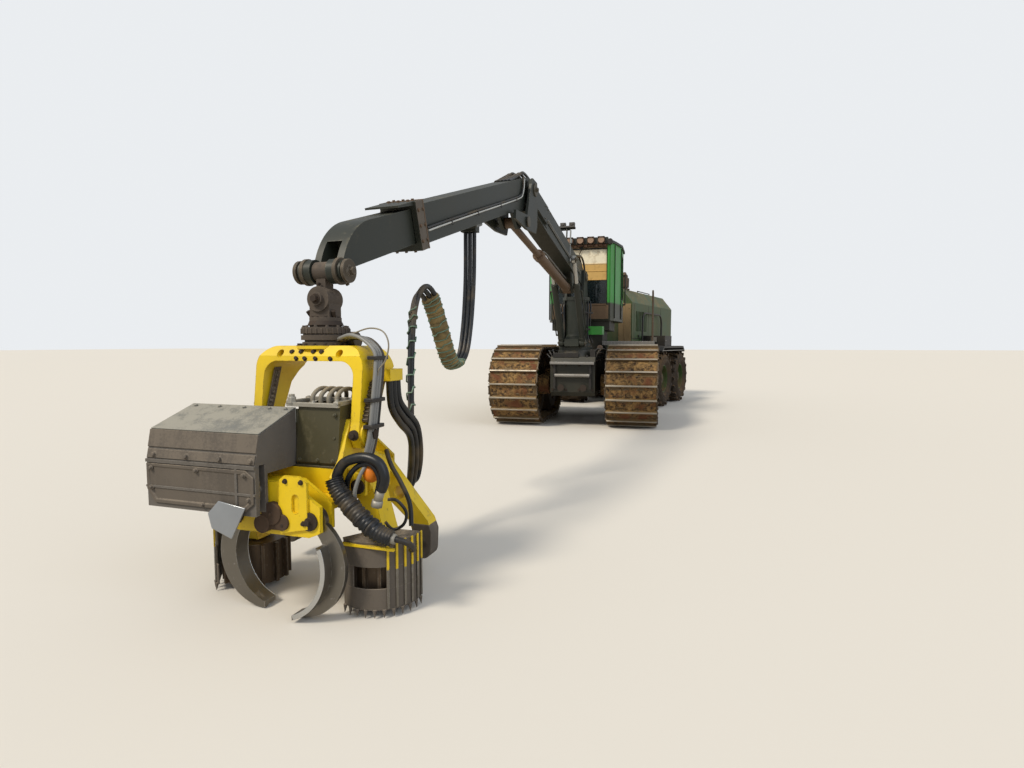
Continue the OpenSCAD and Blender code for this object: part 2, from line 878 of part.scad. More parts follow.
// The elbow pin with its two link plates outside the fork. They turn with the jib.
module elbow_link() {
    w = boom_w / 2 + fork_t + pin_gap;
    color(steel)
        on_crane()
            translate([elbow[0], 0, elbow[1]]) {
                bar_y(0, 0, pin_d, -w - 5, w + 5);
                for (s = [-1, 1]) {
                    bar_y(0, 0, pin_d + 70, s > 0 ? w : -w - 42, s > 0 ? w + 42 : -w);
                    slab_y(s > 0 ? w + 6 : -w - 36, s > 0 ? w + 36 : -w - 6,
                        [[-130, -40], [-100, 110], [90, 120], [150, 40], [330, -370], [760, -400],
                        [780, -500], [330, -540], [-60, -520], [-110, -420]]);
                }
            }
}

module jib_barrel() {
    color(mud)
        along(jib_foot, jib_eye)
            barrel(140, 90, jib_barrel_len, 140);
}

module jib_rod() {
    color(steel)
        along(jib_foot, jib_eye)
            rod(90, 800, jib_cyl_len, 120);
}

// The jib: an outer box that bends down behind the elbow, open at its far end.
// s runs along the jib from the elbow pin, t is across its depth, up is positive.
jib_top = 150;

// A point on the crane, s along the jib and t up from its middle line
function jib_at(s, t) = [elbow[0] + s * cos(jib_a) + t * sin(jib_a),
    elbow[1] - s * sin(jib_a) + t * cos(jib_a)];

// The fittings under the jib where the free hoses start
hose_s = 1772;
hose_from = [jib_at(hose_s, -162)[0], jib_at(hose_s, -162)[1] - 81];

module jib() {
    w = jib_w / 2;
    bot = jib_top - jib_h;
    color(green_dark)
        on_crane()
            box([hose_from[0] - 50, -80, hose_from[1]], [hose_from[0] + 50, 80, hose_from[1] + 60]);
    color(green_dark)
        on_jib()
            difference() {
                union() {
                    slab_y(-w, w, [[240, jib_top + 10], [jib_len, jib_top], [jib_len, bot],
                        [900, bot - 20], [300, bot - 60], [240, -80]]);
                    // the root between the plates of the elbow fork, round behind
                    slab_y(-w + gap, w - gap, [[0, jib_top + 5], [280, jib_top + 5], [280, -160],
                        [-40, -135]]);
                    bar_y(0, 0, 2 * jib_top, -w + gap, w - gap);
                    // the fold along the side, below the middle, and the lip over the collar
                    slab_y(-w - 7, w + 7, [[215, jib_top], [260, 60], [330, -15], [430, -50],
                        [jib_len - 100, bot + 95], [jib_len - 100, bot + 5], [900, bot - 15],
                        [420, bot - 40], [320, -165], [235, -90], [185, jib_top]]);
                    slab_y(-w - 10, w + 10, [[jib_len - 20, jib_top + 2], [jib_len - 20, jib_top + 32],
                        [jib_len + 240, jib_top + 26], [jib_len + 240, jib_top + 12]]);
                    // ears of the jib cylinder, with the heads of its pin
                    for (s = [-1, 1]) {
                        slab_y(s > 0 ? 60 + gap : -100 - gap, s > 0 ? 100 + gap : -60 - gap,
                            [[300, bot], [jib_eye_j[0] - 70, jib_eye_j[1] - 70],
                            [jib_eye_j[0] + 70, jib_eye_j[1] - 70], [700, bot]]);
                        bar_y(jib_eye_j[0], jib_eye_j[1], pin_d,
                            s > 0 ? 100 : -boom_w / 2 - fork_t - gap,
                            s > 0 ? boom_w / 2 + fork_t + gap : -100);
                    }
                    // the block that the hoses hang from
                    box([hose_s - 90, -90, bot - 45], [hose_s + 90, 90, bot]);
                    // the collar
                    slab_y(-w - 25, w + 25, [[jib_len - 130, jib_top + 30], [jib_len, jib_top + 30],
                        [jib_len, bot - 30], [jib_len - 130, bot - 30]]);
                }
                bar_y(0, 0, pin_d + 2 * pin_gap, -300, 300);
                // the space of the extension, with wear pads left standing in the collar
                box([300, -w + jib_t, bot + jib_t], [jib_len - 120, w - jib_t, jib_top - jib_t]);
                box([300, -w + jib_t, bot + jib_t + slide_gap - pin_gap],
                    [jib_len + 10, w - jib_t, jib_top - jib_t - slide_gap + pin_gap]);
            }
}

ext_rear = 1290;
tip_pin_d = 70;
nose_r = 480;

module jib_extension() {
    w = jib_w / 2 - jib_t - slide_gap;
    top = jib_top - jib_t - slide_gap;
    bot = jib_top - jib_h + jib_t + slide_gap;
    nose = jib_len + reach_out;
    color(green_dark)
        on_jib() {
            slab_y(-w, w, [[ext_rear, top], [nose - 120, top], [nose - 120, bot], [ext_rear, bot]]);
            // wear pads at its inner end
            pad = slide_gap - pin_gap;
            for (z = [top, bot - pad])
                box([ext_rear + 20, -w + 20, z], [ext_rear + 180, w - 20, z + pad]);
            // the nose: two cheeks that curve down to the tip pin, joined on top
            difference() {
                union() {
                    intersection() {
                        box([nose - 121, -w, bot], [tip_s + 80, w, top + 10]);
                        translate([nose - 120, 0, top - nose_r])
                            rotate([90, 0, 0])
                                cylinder(r = nose_r, h = 2 * w, center = true);
                    }
                    bar_y(tip_s, tip_t, 150, -w, w);
                }
                // the gap that the link hangs in
                box([nose + 60, -50 - gap, tip_t - 200], [tip_s + 200, 50 + gap, top - 90]);
            }
            bar_y(tip_s, tip_t, tip_pin_d, -w - 55, w + 55);
            for (s = [-1, 1])
                bar_y(tip_s, tip_t, 130, s > 0 ? w - 1 : -w - 45, s > 0 ? w + 45 : 1 - w);
        }
}

tip = jib_at(tip_s, tip_t);

// The free hoses: out along the crane, across it and up
hose_d = 42;
hose_sides = 8;
hose_pitch = 46;
hose_route = [
    [5180, 0, 2600], [5190, 0, 2200], [5225, 0, 1900], [5275, 0, 1660], [5350, 0, 1450],
    [5450, 0, 1340], [5570, 0, 1300], [5690, 5, 1340], [5800, 10, 1450], [5930, 20, 1620],
    [6080, 30, 1810], [6180, 36, 1900], [6285, 42, 1935], [6390, 48, 1900], [6470, 54, 1800],
    [6530, 60, 1620], [6575, 70, 1300], [6620, 90, 950], [6680, 120, 700], [6780, 160, 530],
    [6900, 220, 475], [7010, 310, 560], [7080, 370, 740], [7190, 410, 930], [7350, 425, 1040],
    [7450, 425, 1140], [7470, 425, 1280]];
hose_to = [tip[0] - 60, 425, 1280];

// The route with its ends kept on their fittings
function hose_mid(i) =
    let (last = len(hose_route) - 1, k = i / last)
    hose_route[i]
        + (1 - k) * ([hose_from[0], 0, hose_from[1] - pin_gap] - hose_route[0])
        + k * ([hose_to[0], hose_to[1], hose_to[2] - pin_gap] - hose_route[last]);

function unit(v) = v / norm(v);

function hose_way(i) =
    i == 0 ? [0, 0, -1]
    : i == len(hose_route) - 1 ? [0, 0, 1]
    : unit(hose_mid(i + 1) - hose_mid(i - 1));

// Two directions across the hose: u lies flat, v in the plane of the loops
function hose_u(i) = unit(cross(cross([0, 1, 0], hose_way(i)), hose_way(i)) * -1);
function hose_v(i) = cross(hose_way(i), hose_u(i));

// The hoses start beside each other and turn a quarter about the route on their way
function hose_ring(i, side) =
    let (last = len(hose_route) - 1, a = 90 * i / last,
        at = hose_mid(i) + side * hose_pitch * (cos(a) * hose_u(i) + sin(a) * hose_v(i)))
    [for (k = [0:hose_sides - 1])
        at + hose_d / 2 * (cos(360 * k / hose_sides) * hose_u(i)
            + sin(360 * k / hose_sides) * hose_v(i))];

module hose(side) {
    n = hose_sides;
    rings = len(hose_route);
    color(black)
        on_crane()
            polyhedron(
                points = [for (i = [0:rings - 1]) each hose_ring(i, side)],
                faces = concat(
                    [[for (k = [0:n - 1]) k]],
                    [for (i = [0:rings - 2]) for (k = [0:n - 1])
                        [i * n + k, (i + 1) * n + k, (i + 1) * n + (k + 1) % n, i * n + (k + 1) % n]],
                    [[for (k = [0:n - 1]) rings * n - 1 - k]]));
}

module hose_left() {
    hose(1);
}

module hose_middle() {
    hose(0);
}

module hose_right() {
    hose(-1);
}

// head: x = 0 at the rotator axis, on the crane's frame

module on_tip() {
    on_crane()
        translate([tip[0], 0, 0])
            children();
}

link_low = 1730;
rotator_top = 1700;
tilt_top = 1490;

module tip_link() {
    color(steel)
        on_tip()
            difference() {
                union() {
                    bar_y(0, tip[1], 120, -50, 50);
                    box([-40, -32, link_low + 40], [40, 32, tip[1]]);
                    bar_x(0, link_low + 40, 150, -75, 75);
                    bar_x(0, link_low + 40, 80, -95, 95);
                    box([-60, -70, rotator_top - 60], [60, 70, link_low + 40]);
                    translate([0, 0, rotator_top - 100])
                        cylinder(d = 190, h = 60);
                }
                bar_y(0, tip[1], tip_pin_d + 2 * pin_gap, -60, 60);
            }
}

// The rotator's rings as height and share of its diameter, from below
module rotator() {
    z1 = rotator_top - 100 - pin_gap - tilt_top;
    color(steel)
        on_tip()
            for (ring = [[0, 22, 0.95], [22, 34, 0.86], [34, 62, 1], [62, 74, 0.92], [74, z1, 0.98]])
                translate([0, 0, tilt_top + ring[0]])
                    cylinder(d = rotator_d * ring[2], h = ring[1] - ring[0]);
}

// the tilt frame: an arch with a leg on each side and a hinge at each foot
tilt_x = 150;
leg_t = 60;
beam_t = 90;

// A rectangle about the origin with round corners
module round_rect(w, h, r) {
    square([w, h - 2 * r], center = true);
    square([w - 2 * r, h], center = true);
    for (sx = [-1, 1])
        for (sy = [-1, 1])
            translate([sx * (w / 2 - r), sy * (h / 2 - r)])
                circle(r = r);
}

module tilt_frame() {
    w = tilt_w / 2;
    foot = tilt_z - 80;
    tall = 2 * (tilt_top - foot);
    color(yellow)
        on_tip() {
            difference() {
                intersection() {
                    // the arch seen along the head
                    translate([-260, 0, foot])
                        rotate([90, 0, 90])
                            linear_extrude(600)
                                difference() {
                                    round_rect(tilt_w, tall, 130);
                                    round_rect(tilt_w - 2 * leg_t, tall - 2 * beam_t, 90);
                                    translate([0, -tall / 2])
                                        square([2 * tilt_w, tall], center = true);
                                }
                    // the same arch seen from the side
                    slab_y(-w, w, [[-170, tilt_top - 130], [-130, tilt_top], [130, tilt_top],
                        [175, tilt_top - 60], [185, tilt_top - 150], [tilt_x + 70, tilt_z + 70],
                        [tilt_x + 85, tilt_z], [tilt_x + 50, foot], [tilt_x - 50, foot],
                        [tilt_x - 85, tilt_z], [-60, tilt_top - 230]]);
                }
                // lightening holes through the beam, from the side of the feed
                for (y = [-205, 205])
                    bar_x(y, tilt_top - beam_t / 2, 44, -300, 300);
            }
            // the block that the free hoses end in
            box([hose_to[0] - tip[0] - 75, w - 1, hose_to[2]], [hose_to[0] - tip[0] + 75, 450, 1350]);
            // the flange that meets the rotator
            translate([0, 0, tilt_top - 20])
                cylinder(d = rotator_d + 60, h = 20);
            for (s = [-1, 1]) {
                bar_y(tilt_x, tilt_z, pin_d, s > 0 ? w - leg_t - gap - 30 : -w - 25,
                    s > 0 ? w + 25 : leg_t + gap + 30 - w);
                bar_y(tilt_x, tilt_z, 150, s > 0 ? w - 1 : -w - 15, s > 0 ? w + 15 : 1 - w);
                // rail that guards the hoses on the outside of the leg
                slab_y(s > 0 ? w - 1 : -w - 22, s > 0 ? w + 22 : 1 - w, [[20, tilt_top - 200],
                    [75, tilt_top - 210], [tilt_x + 25, tilt_z + 90], [tilt_x - 35, tilt_z + 90]]);
            }
        }
}

// head frame, lying along x from the far end to the near end
head_x0 = -220;
head_x1 = 380;
head_y = tilt_w / 2 - leg_t - gap;
head_z = 600;
end_t = 25;
near_pin = [240, 560];
far_pin = [150, 700];
arm_pin = [375, 700];
far_t = 110;

// The near knives stand one in front of the other between their end plates
near_x = head_x1 + end_t + 3 * gap + 2 * knife_t;

module head_frame() {
    far_x = head_x0 - end_t - gap - far_t - gap - end_t;
    color(yellow)
        on_tip() {
            difference() {
                for (s = [-1, 1])
                    slab_y(s > 0 ? head_y - 30 : -head_y, s > 0 ? head_y : 30 - head_y,
                        [[head_x0, head_z], [head_x1, head_z], [head_x1, 770],
                        [tilt_x + 150, 850], [tilt_x + 100, tilt_z], [tilt_x + 60, tilt_z + 85],
                        [tilt_x - 60, tilt_z + 85], [tilt_x - 100, tilt_z], [tilt_x - 170, 850],
                        [head_x0 + 100, 800], [head_x0, 760]]);
                bar_y(tilt_x, tilt_z, pin_d + 2 * pin_gap, -head_y - 1, head_y + 1);
                for (x = [-140, 308])
                    bar_y(x, 700, 90, -head_y - 1, head_y + 1);
            }
            box([head_x0, -head_y + 20, head_z], [head_x1, head_y - 20, head_z + 60]);
            // cross plates
            for (x = [head_x0 + 60, tilt_x + 130])
                box([x, -head_y + 20, head_z + 40], [x + 20, head_y - 20, 800]);
            // end plates that carry the knife pins
            for (x = [head_x1, near_x])
                slab_x(x, x + end_t, [[-head_y, 500], [-head_y + 70, 470], [head_y - 70, 470],
                    [head_y, 500], [head_y, 640], [120, 760], [-120, 760], [-head_y, 640]]);
            for (x = [head_x0 - end_t, far_x])
                slab_x(x, x + end_t, [[-240, far_pin[1] - 90], [240, far_pin[1] - 90],
                    [240, far_pin[1] + 60], [120, 860], [-120, 860], [-240, far_pin[1] + 60]]);
            box([head_x1, -120, 640], [near_x + 5, 120, 755]);
            box([far_x + 5, -60, 640], [head_x0, 60, 790]);
            // the pad that the saw box is bolted to
            box([near_x + end_t - 1, -200, 610], [saw_x - pin_gap, -70, 690]);
            // the near plate with its long slot
            difference() {
                slab_x(near_x + end_t - 1, near_x + end_t + 14, [[50, 600], [60, 775], [90, 800],
                    [190, 800], [235, 770], [235, 520], [60, 480]]);
                for (z = [620, 680])
                    bar_x(160, z, 44, near_x, near_x + 100);
                box([near_x, 138, 620], [near_x + 100, 182, 680]);
            }
            for (s = [-1, 1]) {
                bar_x(s * near_pin[0], near_pin[1], 60, head_x1, near_x + end_t);
                bar_x(s * far_pin[0], far_pin[1], 60, far_x, head_x0);
                // ears of the feed arms
                for (x = [20, 230])
                    slab_x(x, x + 25, [[s * (head_y - 10), 640], [s * (arm_pin[0] + 45), 650],
                        [s * (arm_pin[0] + 45), 750], [s * (head_y - 10), 800]]);
                bar_x(s * arm_pin[0], arm_pin[1], 60, 20, 255);
            }
        }
}

// The open box over the valves, between the legs of the tilt frame
module valve_box() {
    color(olive)
        on_tip()
            difference() {
                slab_y(-4, head_y - 30 - pin_gap, [[-90, 800], [tilt_x + 130 - pin_gap, 800],
                    [tilt_x + 150, 830], [tilt_x + 115, 1150], [-60, 1165]]);
                slab_y(8, head_y - 42 - pin_gap, [[-80, 830], [tilt_x + 130, 830],
                    [tilt_x + 105, 1170], [-50, 1170]]);
            }
    color(olive)
        on_tip()
            slab_y(120, 128, [[-79, 831], [tilt_x + 129, 831], [tilt_x + 112, 1100], [-60, 1100]]);
}

saw_x = near_x + end_t + 15 + pin_gap;
saw_pin = [-60, 720];

module saw_box() {
    color(steel)
        on_tip() {
            difference() {
                slab_y(-760, -12, [[saw_x - 240, 806], [saw_x, 806], [saw_x, 600],
                    [saw_x + 90, 590], [saw_x + 90, 860], [saw_x + 55, 1020], [saw_x - 240, 1130]]);
                // the slot that the bar swings in
                box([saw_x + 20, -740, 580], [saw_x + 62, 0, 860]);
                // where the side plate of the head frame stands
                box([saw_x - 260, -head_y - pin_gap, 500],
                    [head_x1 + pin_gap, -head_y + 30 + pin_gap, 1200]);
                // the box is open below, behind the bar
                box([saw_x - 228, -748, 700], [saw_x - 12, -head_y - 12, 980]);
            }
            bar_x(saw_pin[0], saw_pin[1], 50, saw_x + 15, saw_x + 70);
            // ribs on the front face
            for (r = [[-760, -12, 842, 860], [-760, -12, 700, 712], [-140, -125, 600, 842]])
                box([saw_x + 89, r[0], r[2]], [saw_x + 100, r[1], r[3]]);
        }
}

module saw_bar() {
    color(steel)
        on_tip()
            difference() {
                slab_x(saw_x + 38, saw_x + 50, [[saw_pin[0] + 30, 670], [saw_pin[0] + 30, 770],
                    [-700, 790], [-728, 740], [-728, 690], [-700, 640]]);
                bar_x(saw_pin[0], saw_pin[1], 50 + 2 * pin_gap, saw_x, saw_x + 100);
            }
}

// A curved knife that hangs from its pin and bends inwards below. s is its side,
// and band is how far its cutting edge reaches out of its plane, away from the other knife.
module knife(s, pin, t, r, band) {
    drop = r * 0.84;
    cut = 200;
    translate([0, s * pin[0], pin[1]])
        rotate([90, 0, 90]) {
            linear_extrude(t)
                difference() {
                    union() {
                        circle(r = 75);
                        difference() {
                            translate([-s * 110, -drop])
                                circle(r = r);
                            translate([-s * cut, -drop])
                                circle(r = r - 20);
                            translate([-s * (110 + r), -drop])
                                square([2 * r, 3 * r], center = true);
                        }
                    }
                    circle(r = 30 + pin_gap);
                }
            translate([0, 0, s > 0 ? t - 1 : -band])
                linear_extrude(band + 1)
                    difference() {
                        translate([-s * cut, -drop])
                            circle(r = r + 5);
                        translate([-s * cut, -drop])
                            circle(r = r - 20);
                        translate([-s * (110 + r), -drop])
                            square([2 * r, 3 * r], center = true);
                        translate([0, r - 130])
                            square([4 * r, 2 * r], center = true);
                    }
        }
}

module knife_near(s) {
    color(steel)
        on_tip()
            translate([head_x1 + end_t + gap + (s > 0 ? knife_t + gap : 0), 0, 0])
                knife(s, near_pin, knife_t, 300, 60);
}

// The far knives are thick yellow beams that reach out and end in a worn hook
module knife_far(s) {
    color(yellow)
        on_tip()
            translate([head_x0 - end_t - gap - far_t, s * far_pin[0], far_pin[1]])
                rotate([90, 0, 90])
                    mirror([s < 0 ? 1 : 0, 0, 0])
                        linear_extrude(far_t)
                            difference() {
                                union() {
                                    circle(r = 80);
                                    polygon([[-60, -55], [270, -340], [290, -400], [300, -520],
                                        [420, -520], [425, -400], [400, -330], [60, 70], [-20, 78]]);
                                    translate([360, -520])
                                        circle(r = 60);
                                }
                                circle(r = 30 + pin_gap);
                                translate([200, -160])
                                    circle(r = 40);
                            }
}

roller_at = [135, 450, 40];

module feed_arm(s) {
    color(yellow)
        on_tip()
            difference() {
                union() {
                    bar_x(s * arm_pin[0], arm_pin[1], 120, 45 + gap, 230 - gap);
                    slab_x(60, 210, [[s * (arm_pin[0] + 10), 745], [s * (arm_pin[0] + 60), 700],
                        [s * (roller_at[1] + 80), 360], [s * (roller_at[1] + 80), 300],
                        [s * (roller_at[1] - 80), 300], [s * (roller_at[1] - 60), 360],
                        [s * (arm_pin[0] - 40), 650]]);
                    translate([roller_at[0], s * roller_at[1], 120])
                        cylinder(d = 100, h = 200);
                }
                bar_x(s * arm_pin[0], arm_pin[1], 60 + 2 * pin_gap, 0, 300);
            }
}

module feed_roller(s) {
    slats = 14;
    color(steel)
        on_tip()
            translate([roller_at[0], s * roller_at[1], roller_at[2]]) {
                difference() {
                    cylinder(d = roller_d - 50, h = roller_w);
                    translate([0, 0, 79.7])
                        cylinder(d = 100 + 2 * pin_gap, h = roller_w);
                }
                for (i = [0:slats - 1])
                    rotate([0, 0, i * 360 / slats])
                        translate([roller_d / 2 - 32, -9, 4])
                            cube([32, 18, roller_w - 8]);
            }
}

front_frame();
front_bogies();
front_tyres();
front_rims();
track_left();
track_right();
cab_shell();
cab_glass();
cab_roof();
cab_lamps();
cab_seat();
cab_door();
cab_door_glass();
cab_steps();
column_box();
nose_guard();
rear_frame();
rear_bogies();
rear_tyre(1, -1);  // tyre_rl1
rear_tyre(1, 1);  // tyre_rl2
rear_tyre(-1, -1);  // tyre_rr1
rear_tyre(-1, 1);  // tyre_rr2
rear_rim(1, -1);  // rim_rl1
rear_rim(1, 1);  // rim_rl2
rear_rim(-1, -1);  // rim_rr1
rear_rim(-1, 1);  // rim_rr2
hood();
rear_grille();
exhaust();
rear_rails();
engine_block();
rear_fenders();
column();
lift_barrel();
lift_rod();
main_boom();
elbow_link();
jib_barrel();
jib_rod();
jib();
jib_extension();
hose_left();
hose_middle();
hose_right();
tip_link();
rotator();
tilt_frame();
head_frame();
valve_box();
saw_box();
saw_bar();
knife_near(1);  // knife_near_left
knife_near(-1);  // knife_near_right
knife_far(1);  // knife_far_left
knife_far(-1);  // knife_far_right
feed_arm(1);  // feed_arm_left
feed_arm(-1);  // feed_arm_right
feed_roller(1);  // feed_roller_left
feed_roller(-1);  // feed_roller_right
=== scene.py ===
import bpy
import bmesh
import random
from math import cos, pi, radians, sin
from mathutils import Matrix, Vector


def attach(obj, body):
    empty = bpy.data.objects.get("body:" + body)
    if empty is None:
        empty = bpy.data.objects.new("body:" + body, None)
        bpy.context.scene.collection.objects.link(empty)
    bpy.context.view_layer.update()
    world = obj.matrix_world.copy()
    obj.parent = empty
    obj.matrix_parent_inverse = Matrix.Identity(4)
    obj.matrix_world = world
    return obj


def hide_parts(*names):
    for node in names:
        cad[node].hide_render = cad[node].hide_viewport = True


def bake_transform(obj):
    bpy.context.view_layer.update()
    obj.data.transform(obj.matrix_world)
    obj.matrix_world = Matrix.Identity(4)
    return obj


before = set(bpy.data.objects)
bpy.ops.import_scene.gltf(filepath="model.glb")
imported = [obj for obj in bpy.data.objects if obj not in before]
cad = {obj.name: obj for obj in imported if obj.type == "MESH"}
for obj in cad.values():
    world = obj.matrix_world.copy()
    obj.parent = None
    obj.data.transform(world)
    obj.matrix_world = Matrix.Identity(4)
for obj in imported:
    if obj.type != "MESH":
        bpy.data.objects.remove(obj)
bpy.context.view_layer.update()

# Camera and studio
# The camera stands where the photograph was taken: low, in front of the machine and
# beside the head, with a phone's wide lens. Floor, world and lamps are a plain pale
# studio with one wide soft lamp from the left and a weak one from the right.

machine_zero = Vector((-0.3938, 1.3254, 0.0))
camera_spot = machine_zero + Vector((1.444, -11.441, 1.5))
camera_way = Vector((-0.2419, 0.9703, 0.0))
camera_pitch = radians(-3.97)

camera = bpy.data.objects.new("camera", bpy.data.cameras.new("camera"))
bpy.context.scene.collection.objects.link(camera)
camera.data.lens = 20.285
camera.data.sensor_width = 36.0
camera.data.clip_end = 400.0
camera.location = camera_spot
look = camera_way * cos(camera_pitch) + Vector((0, 0, sin(camera_pitch)))
camera.rotation_mode = "QUATERNION"
camera.rotation_quaternion = look.to_track_quat("-Z", "Y")
bpy.context.scene.camera = camera


def linear(code, alpha=1.0):
    """An sRGB hex colour as Blender's linear colour."""
    parts = [int(code[i:i + 2], 16) / 255 for i in (1, 3, 5)]
    return tuple(c / 12.92 if c <= 0.04045 else ((c + 0.055) / 1.055) ** 2.4 for c in parts) + (alpha,)


def add(tree, kind, sockets=None, **settings):
    """Adds one shader node. sockets maps an input to a value or to the output that feeds it."""
    made = tree.nodes.new("ShaderNode" + kind)
    for name, value in settings.items():
        setattr(made, name, value)
    for key, value in (sockets or {}).items():
        if isinstance(value, bpy.types.NodeSocket):
            tree.links.new(value, made.inputs[key])
        else:
            made.inputs[key].default_value = value
    return made


def mixed(tree, share, first, second):
    """Two colours mixed by a share; each is a hex code, a colour or an output."""
    first, second = (linear(c) if isinstance(c, str) else c for c in (first, second))
    return add(tree, "Mix", {0: share, 6: first, 7: second}, data_type="RGBA").outputs[2]


def spread(tree, value, low=0.0, high=1.0, to_low=0.0, to_high=1.0):
    """The stretch of a value from low to high, laid over the one from to_low to to_high."""
    return add(tree, "MapRange", {"Value": value, "From Min": low, "From Max": high, "To Min": to_low,
                                  "To Max": to_high}).outputs["Result"]


def maths(tree, operation, first, second, clamp=False):
    """One sum of two values or outputs."""
    return add(tree, "Math", {0: first, 1: second}, operation=operation, use_clamp=clamp).outputs[0]


def blank_material(name):
    """A new material and its empty node tree."""
    made = bpy.data.materials.new(name)
    made.use_nodes = True
    made.node_tree.nodes.clear()
    return made, made.node_tree


def to_scene(name, mesh, material):
    """A mesh as an object at the origin, with its material."""
    made = bpy.data.objects.new(name, mesh)
    bpy.context.scene.collection.objects.link(made)
    mesh.materials.append(material)
    return made


floor_mesh = bpy.data.meshes.new("floor")
shape = bmesh.new()
bmesh.ops.create_grid(shape, x_segments=2, y_segments=2, size=150.0)
shape.to_mesh(floor_mesh)
shape.free()
floor_paint, t = blank_material("pale floor")
floor_tone = mixed(t, add(t, "LightPath").outputs["Is Camera Ray"], "#b9b3a8", "#dedad2")
floor_skin = add(t, "BsdfDiffuse", {"Color": floor_tone})
add(t, "OutputMaterial", {"Surface": floor_skin.outputs[0]})
floor = to_scene("floor", floor_mesh, floor_paint)

world = bpy.data.worlds.new("studio")
bpy.context.scene.world = world
world.use_nodes = True
t = world.node_tree
t.nodes.clear()
rays = add(t, "LightPath")
plain = maths(t, "MAXIMUM", rays.outputs["Is Camera Ray"], rays.outputs["Is Transmission Ray"])
# what lights the machine, and what the camera and clear glass see
lit, shown = 0.55, 0.93
sky = add(t, "Background", {"Color": linear("#f2f5f8"), "Strength": spread(t, plain, 0, 1, lit, shown)})
add(t, "OutputWorld", {"Surface": sky.outputs[0]})

studio_lamps = (("key lamp", (0.55, 0.75, -1.0), 2.3, 14.0, "#fff4e2"),
                ("fill lamp", (-0.8, 0.45, -0.6), 0.7, 50.0, "#e8f0ff"))
for name, way, power, softness, tint in studio_lamps:
    lamp = bpy.data.lights.new(name, "SUN")
    lamp.energy = power
    lamp.angle = radians(softness)
    lamp.color = linear(tint)[:3]
    lamp_object = bpy.data.objects.new(name, lamp)
    lamp_object.rotation_mode = "QUATERNION"
    lamp_object.rotation_quaternion = Vector(way).to_track_quat("-Z", "Y")
    bpy.context.scene.collection.objects.link(lamp_object)

bpy.context.scene.view_settings.view_transform = "Standard"

# Free hoses
# Three hydraulic hoses of wire-braided rubber leave the fittings under the jib, hang
# in two loops and rise to the tilt frame. Plastic spirals and a canvas sleeve guard them.

# The crane's place and reach, as in part.scad.
slew_spot, slew_turn = Vector((0, -0.75, 0)), radians(-94)
boom_angle, jib_angle = radians(10.8), radians(18.5)
boom_foot, boom_length = 2.72, 3.615
tip_along, tip_below = 4.24, 0.12

on_machine = Matrix.Translation(machine_zero)
on_crane = on_machine @ Matrix.Translation(slew_spot) @ Matrix.Rotation(slew_turn, 4, "Z")
elbow = Vector((boom_length * cos(boom_angle), 0, boom_foot + boom_length * sin(boom_angle)))
on_jib = on_crane @ Matrix.Translation(elbow) @ Matrix.Rotation(jib_angle, 4, "Y")
jib_tip = Vector((elbow.x + tip_along * cos(jib_angle) - tip_below * sin(jib_angle), 0, 0))
on_head = on_crane @ Matrix.Translation(jib_tip)

hose_route = [Vector(p) for p in (
    (5.18, 0, 2.6), (5.19, 0, 2.2), (5.225, 0, 1.9), (5.275, 0, 1.66), (5.35, 0, 1.45), (5.45, 0, 1.34),
    (5.57, 0, 1.3), (5.69, 0.005, 1.34), (5.8, 0.01, 1.45), (5.93, 0.02, 1.62), (6.08, 0.03, 1.81),
    (6.18, 0.036, 1.9), (6.285, 0.042, 1.935), (6.39, 0.048, 1.9), (6.47, 0.054, 1.8), (6.53, 0.06, 1.62),
    (6.575, 0.07, 1.3), (6.62, 0.09, 0.95), (6.68, 0.12, 0.7), (6.78, 0.16, 0.53), (6.9, 0.22, 0.475),
    (7.01, 0.31, 0.56), (7.08, 0.37, 0.74), (7.19, 0.41, 0.93), (7.35, 0.425, 1.04), (7.45, 0.425, 1.14),
    (7.47, 0.425, 1.28))]
hose_width = 0.042
hose_pitch = 0.046
last_point = len(hose_route) - 1


def hose_frame(i):
    """The hose's way at point i, the direction flat across it and the one in the loop's plane."""
    if i == 0:
        way = Vector((0, 0, -1))
    elif i == last_point:
        way = Vector((0, 0, 1))
    else:
        way = (hose_route[i + 1] - hose_route[i - 1]).normalized()
    flat = -(Vector((0, 1, 0)).cross(way)).cross(way).normalized()
    turn = radians(90 * i / last_point)
    deep = way.cross(flat)
    return way, cos(turn) * flat + sin(turn) * deep, cos(turn) * deep - sin(turn) * flat


def smooth_line(points, steps):
    """A Catmull-Rom line through the points, with steps pieces between each two."""
    line = []
    for i in range(len(points) - 1):
        a, b = points[max(i - 1, 0)], points[i]
        c, d = points[i + 1], points[min(i + 2, len(points) - 1)]
        for k in range(steps):
            u = k / steps
            line.append(0.5 * (2 * b + (c - a) * u + (2 * a - 5 * b + 4 * c - d) * u * u
                               + (3 * b - a - 3 * c + d) * u ** 3))
    return line + [points[-1]]


def tube(name, line, width, material, sides=3):
    """A round tube that follows a line of points, as a curve with one open spline."""
    curve = bpy.data.curves.new(name, "CURVE")
    curve.dimensions = "3D"
    curve.bevel_depth = width / 2
    curve.bevel_resolution = sides
    curve.use_fill_caps = True
    spline = curve.splines.new("POLY")
    spline.points.add(len(line) - 1)
    for i, p in enumerate(line):
        spline.points[i].co = (*p, 1.0)
    curve.materials.append(material)
    made = bpy.data.objects.new(name, curve)
    bpy.context.scene.collection.objects.link(made)
    return made


def noise(tree, place, scale, detail=2.0, rough=0.5):
    """The grey value of a noise."""
    values = {"Vector": place, "Scale": scale, "Detail": detail, "Roughness": rough}
    return add(tree, "TexNoise", values).outputs["Fac"]


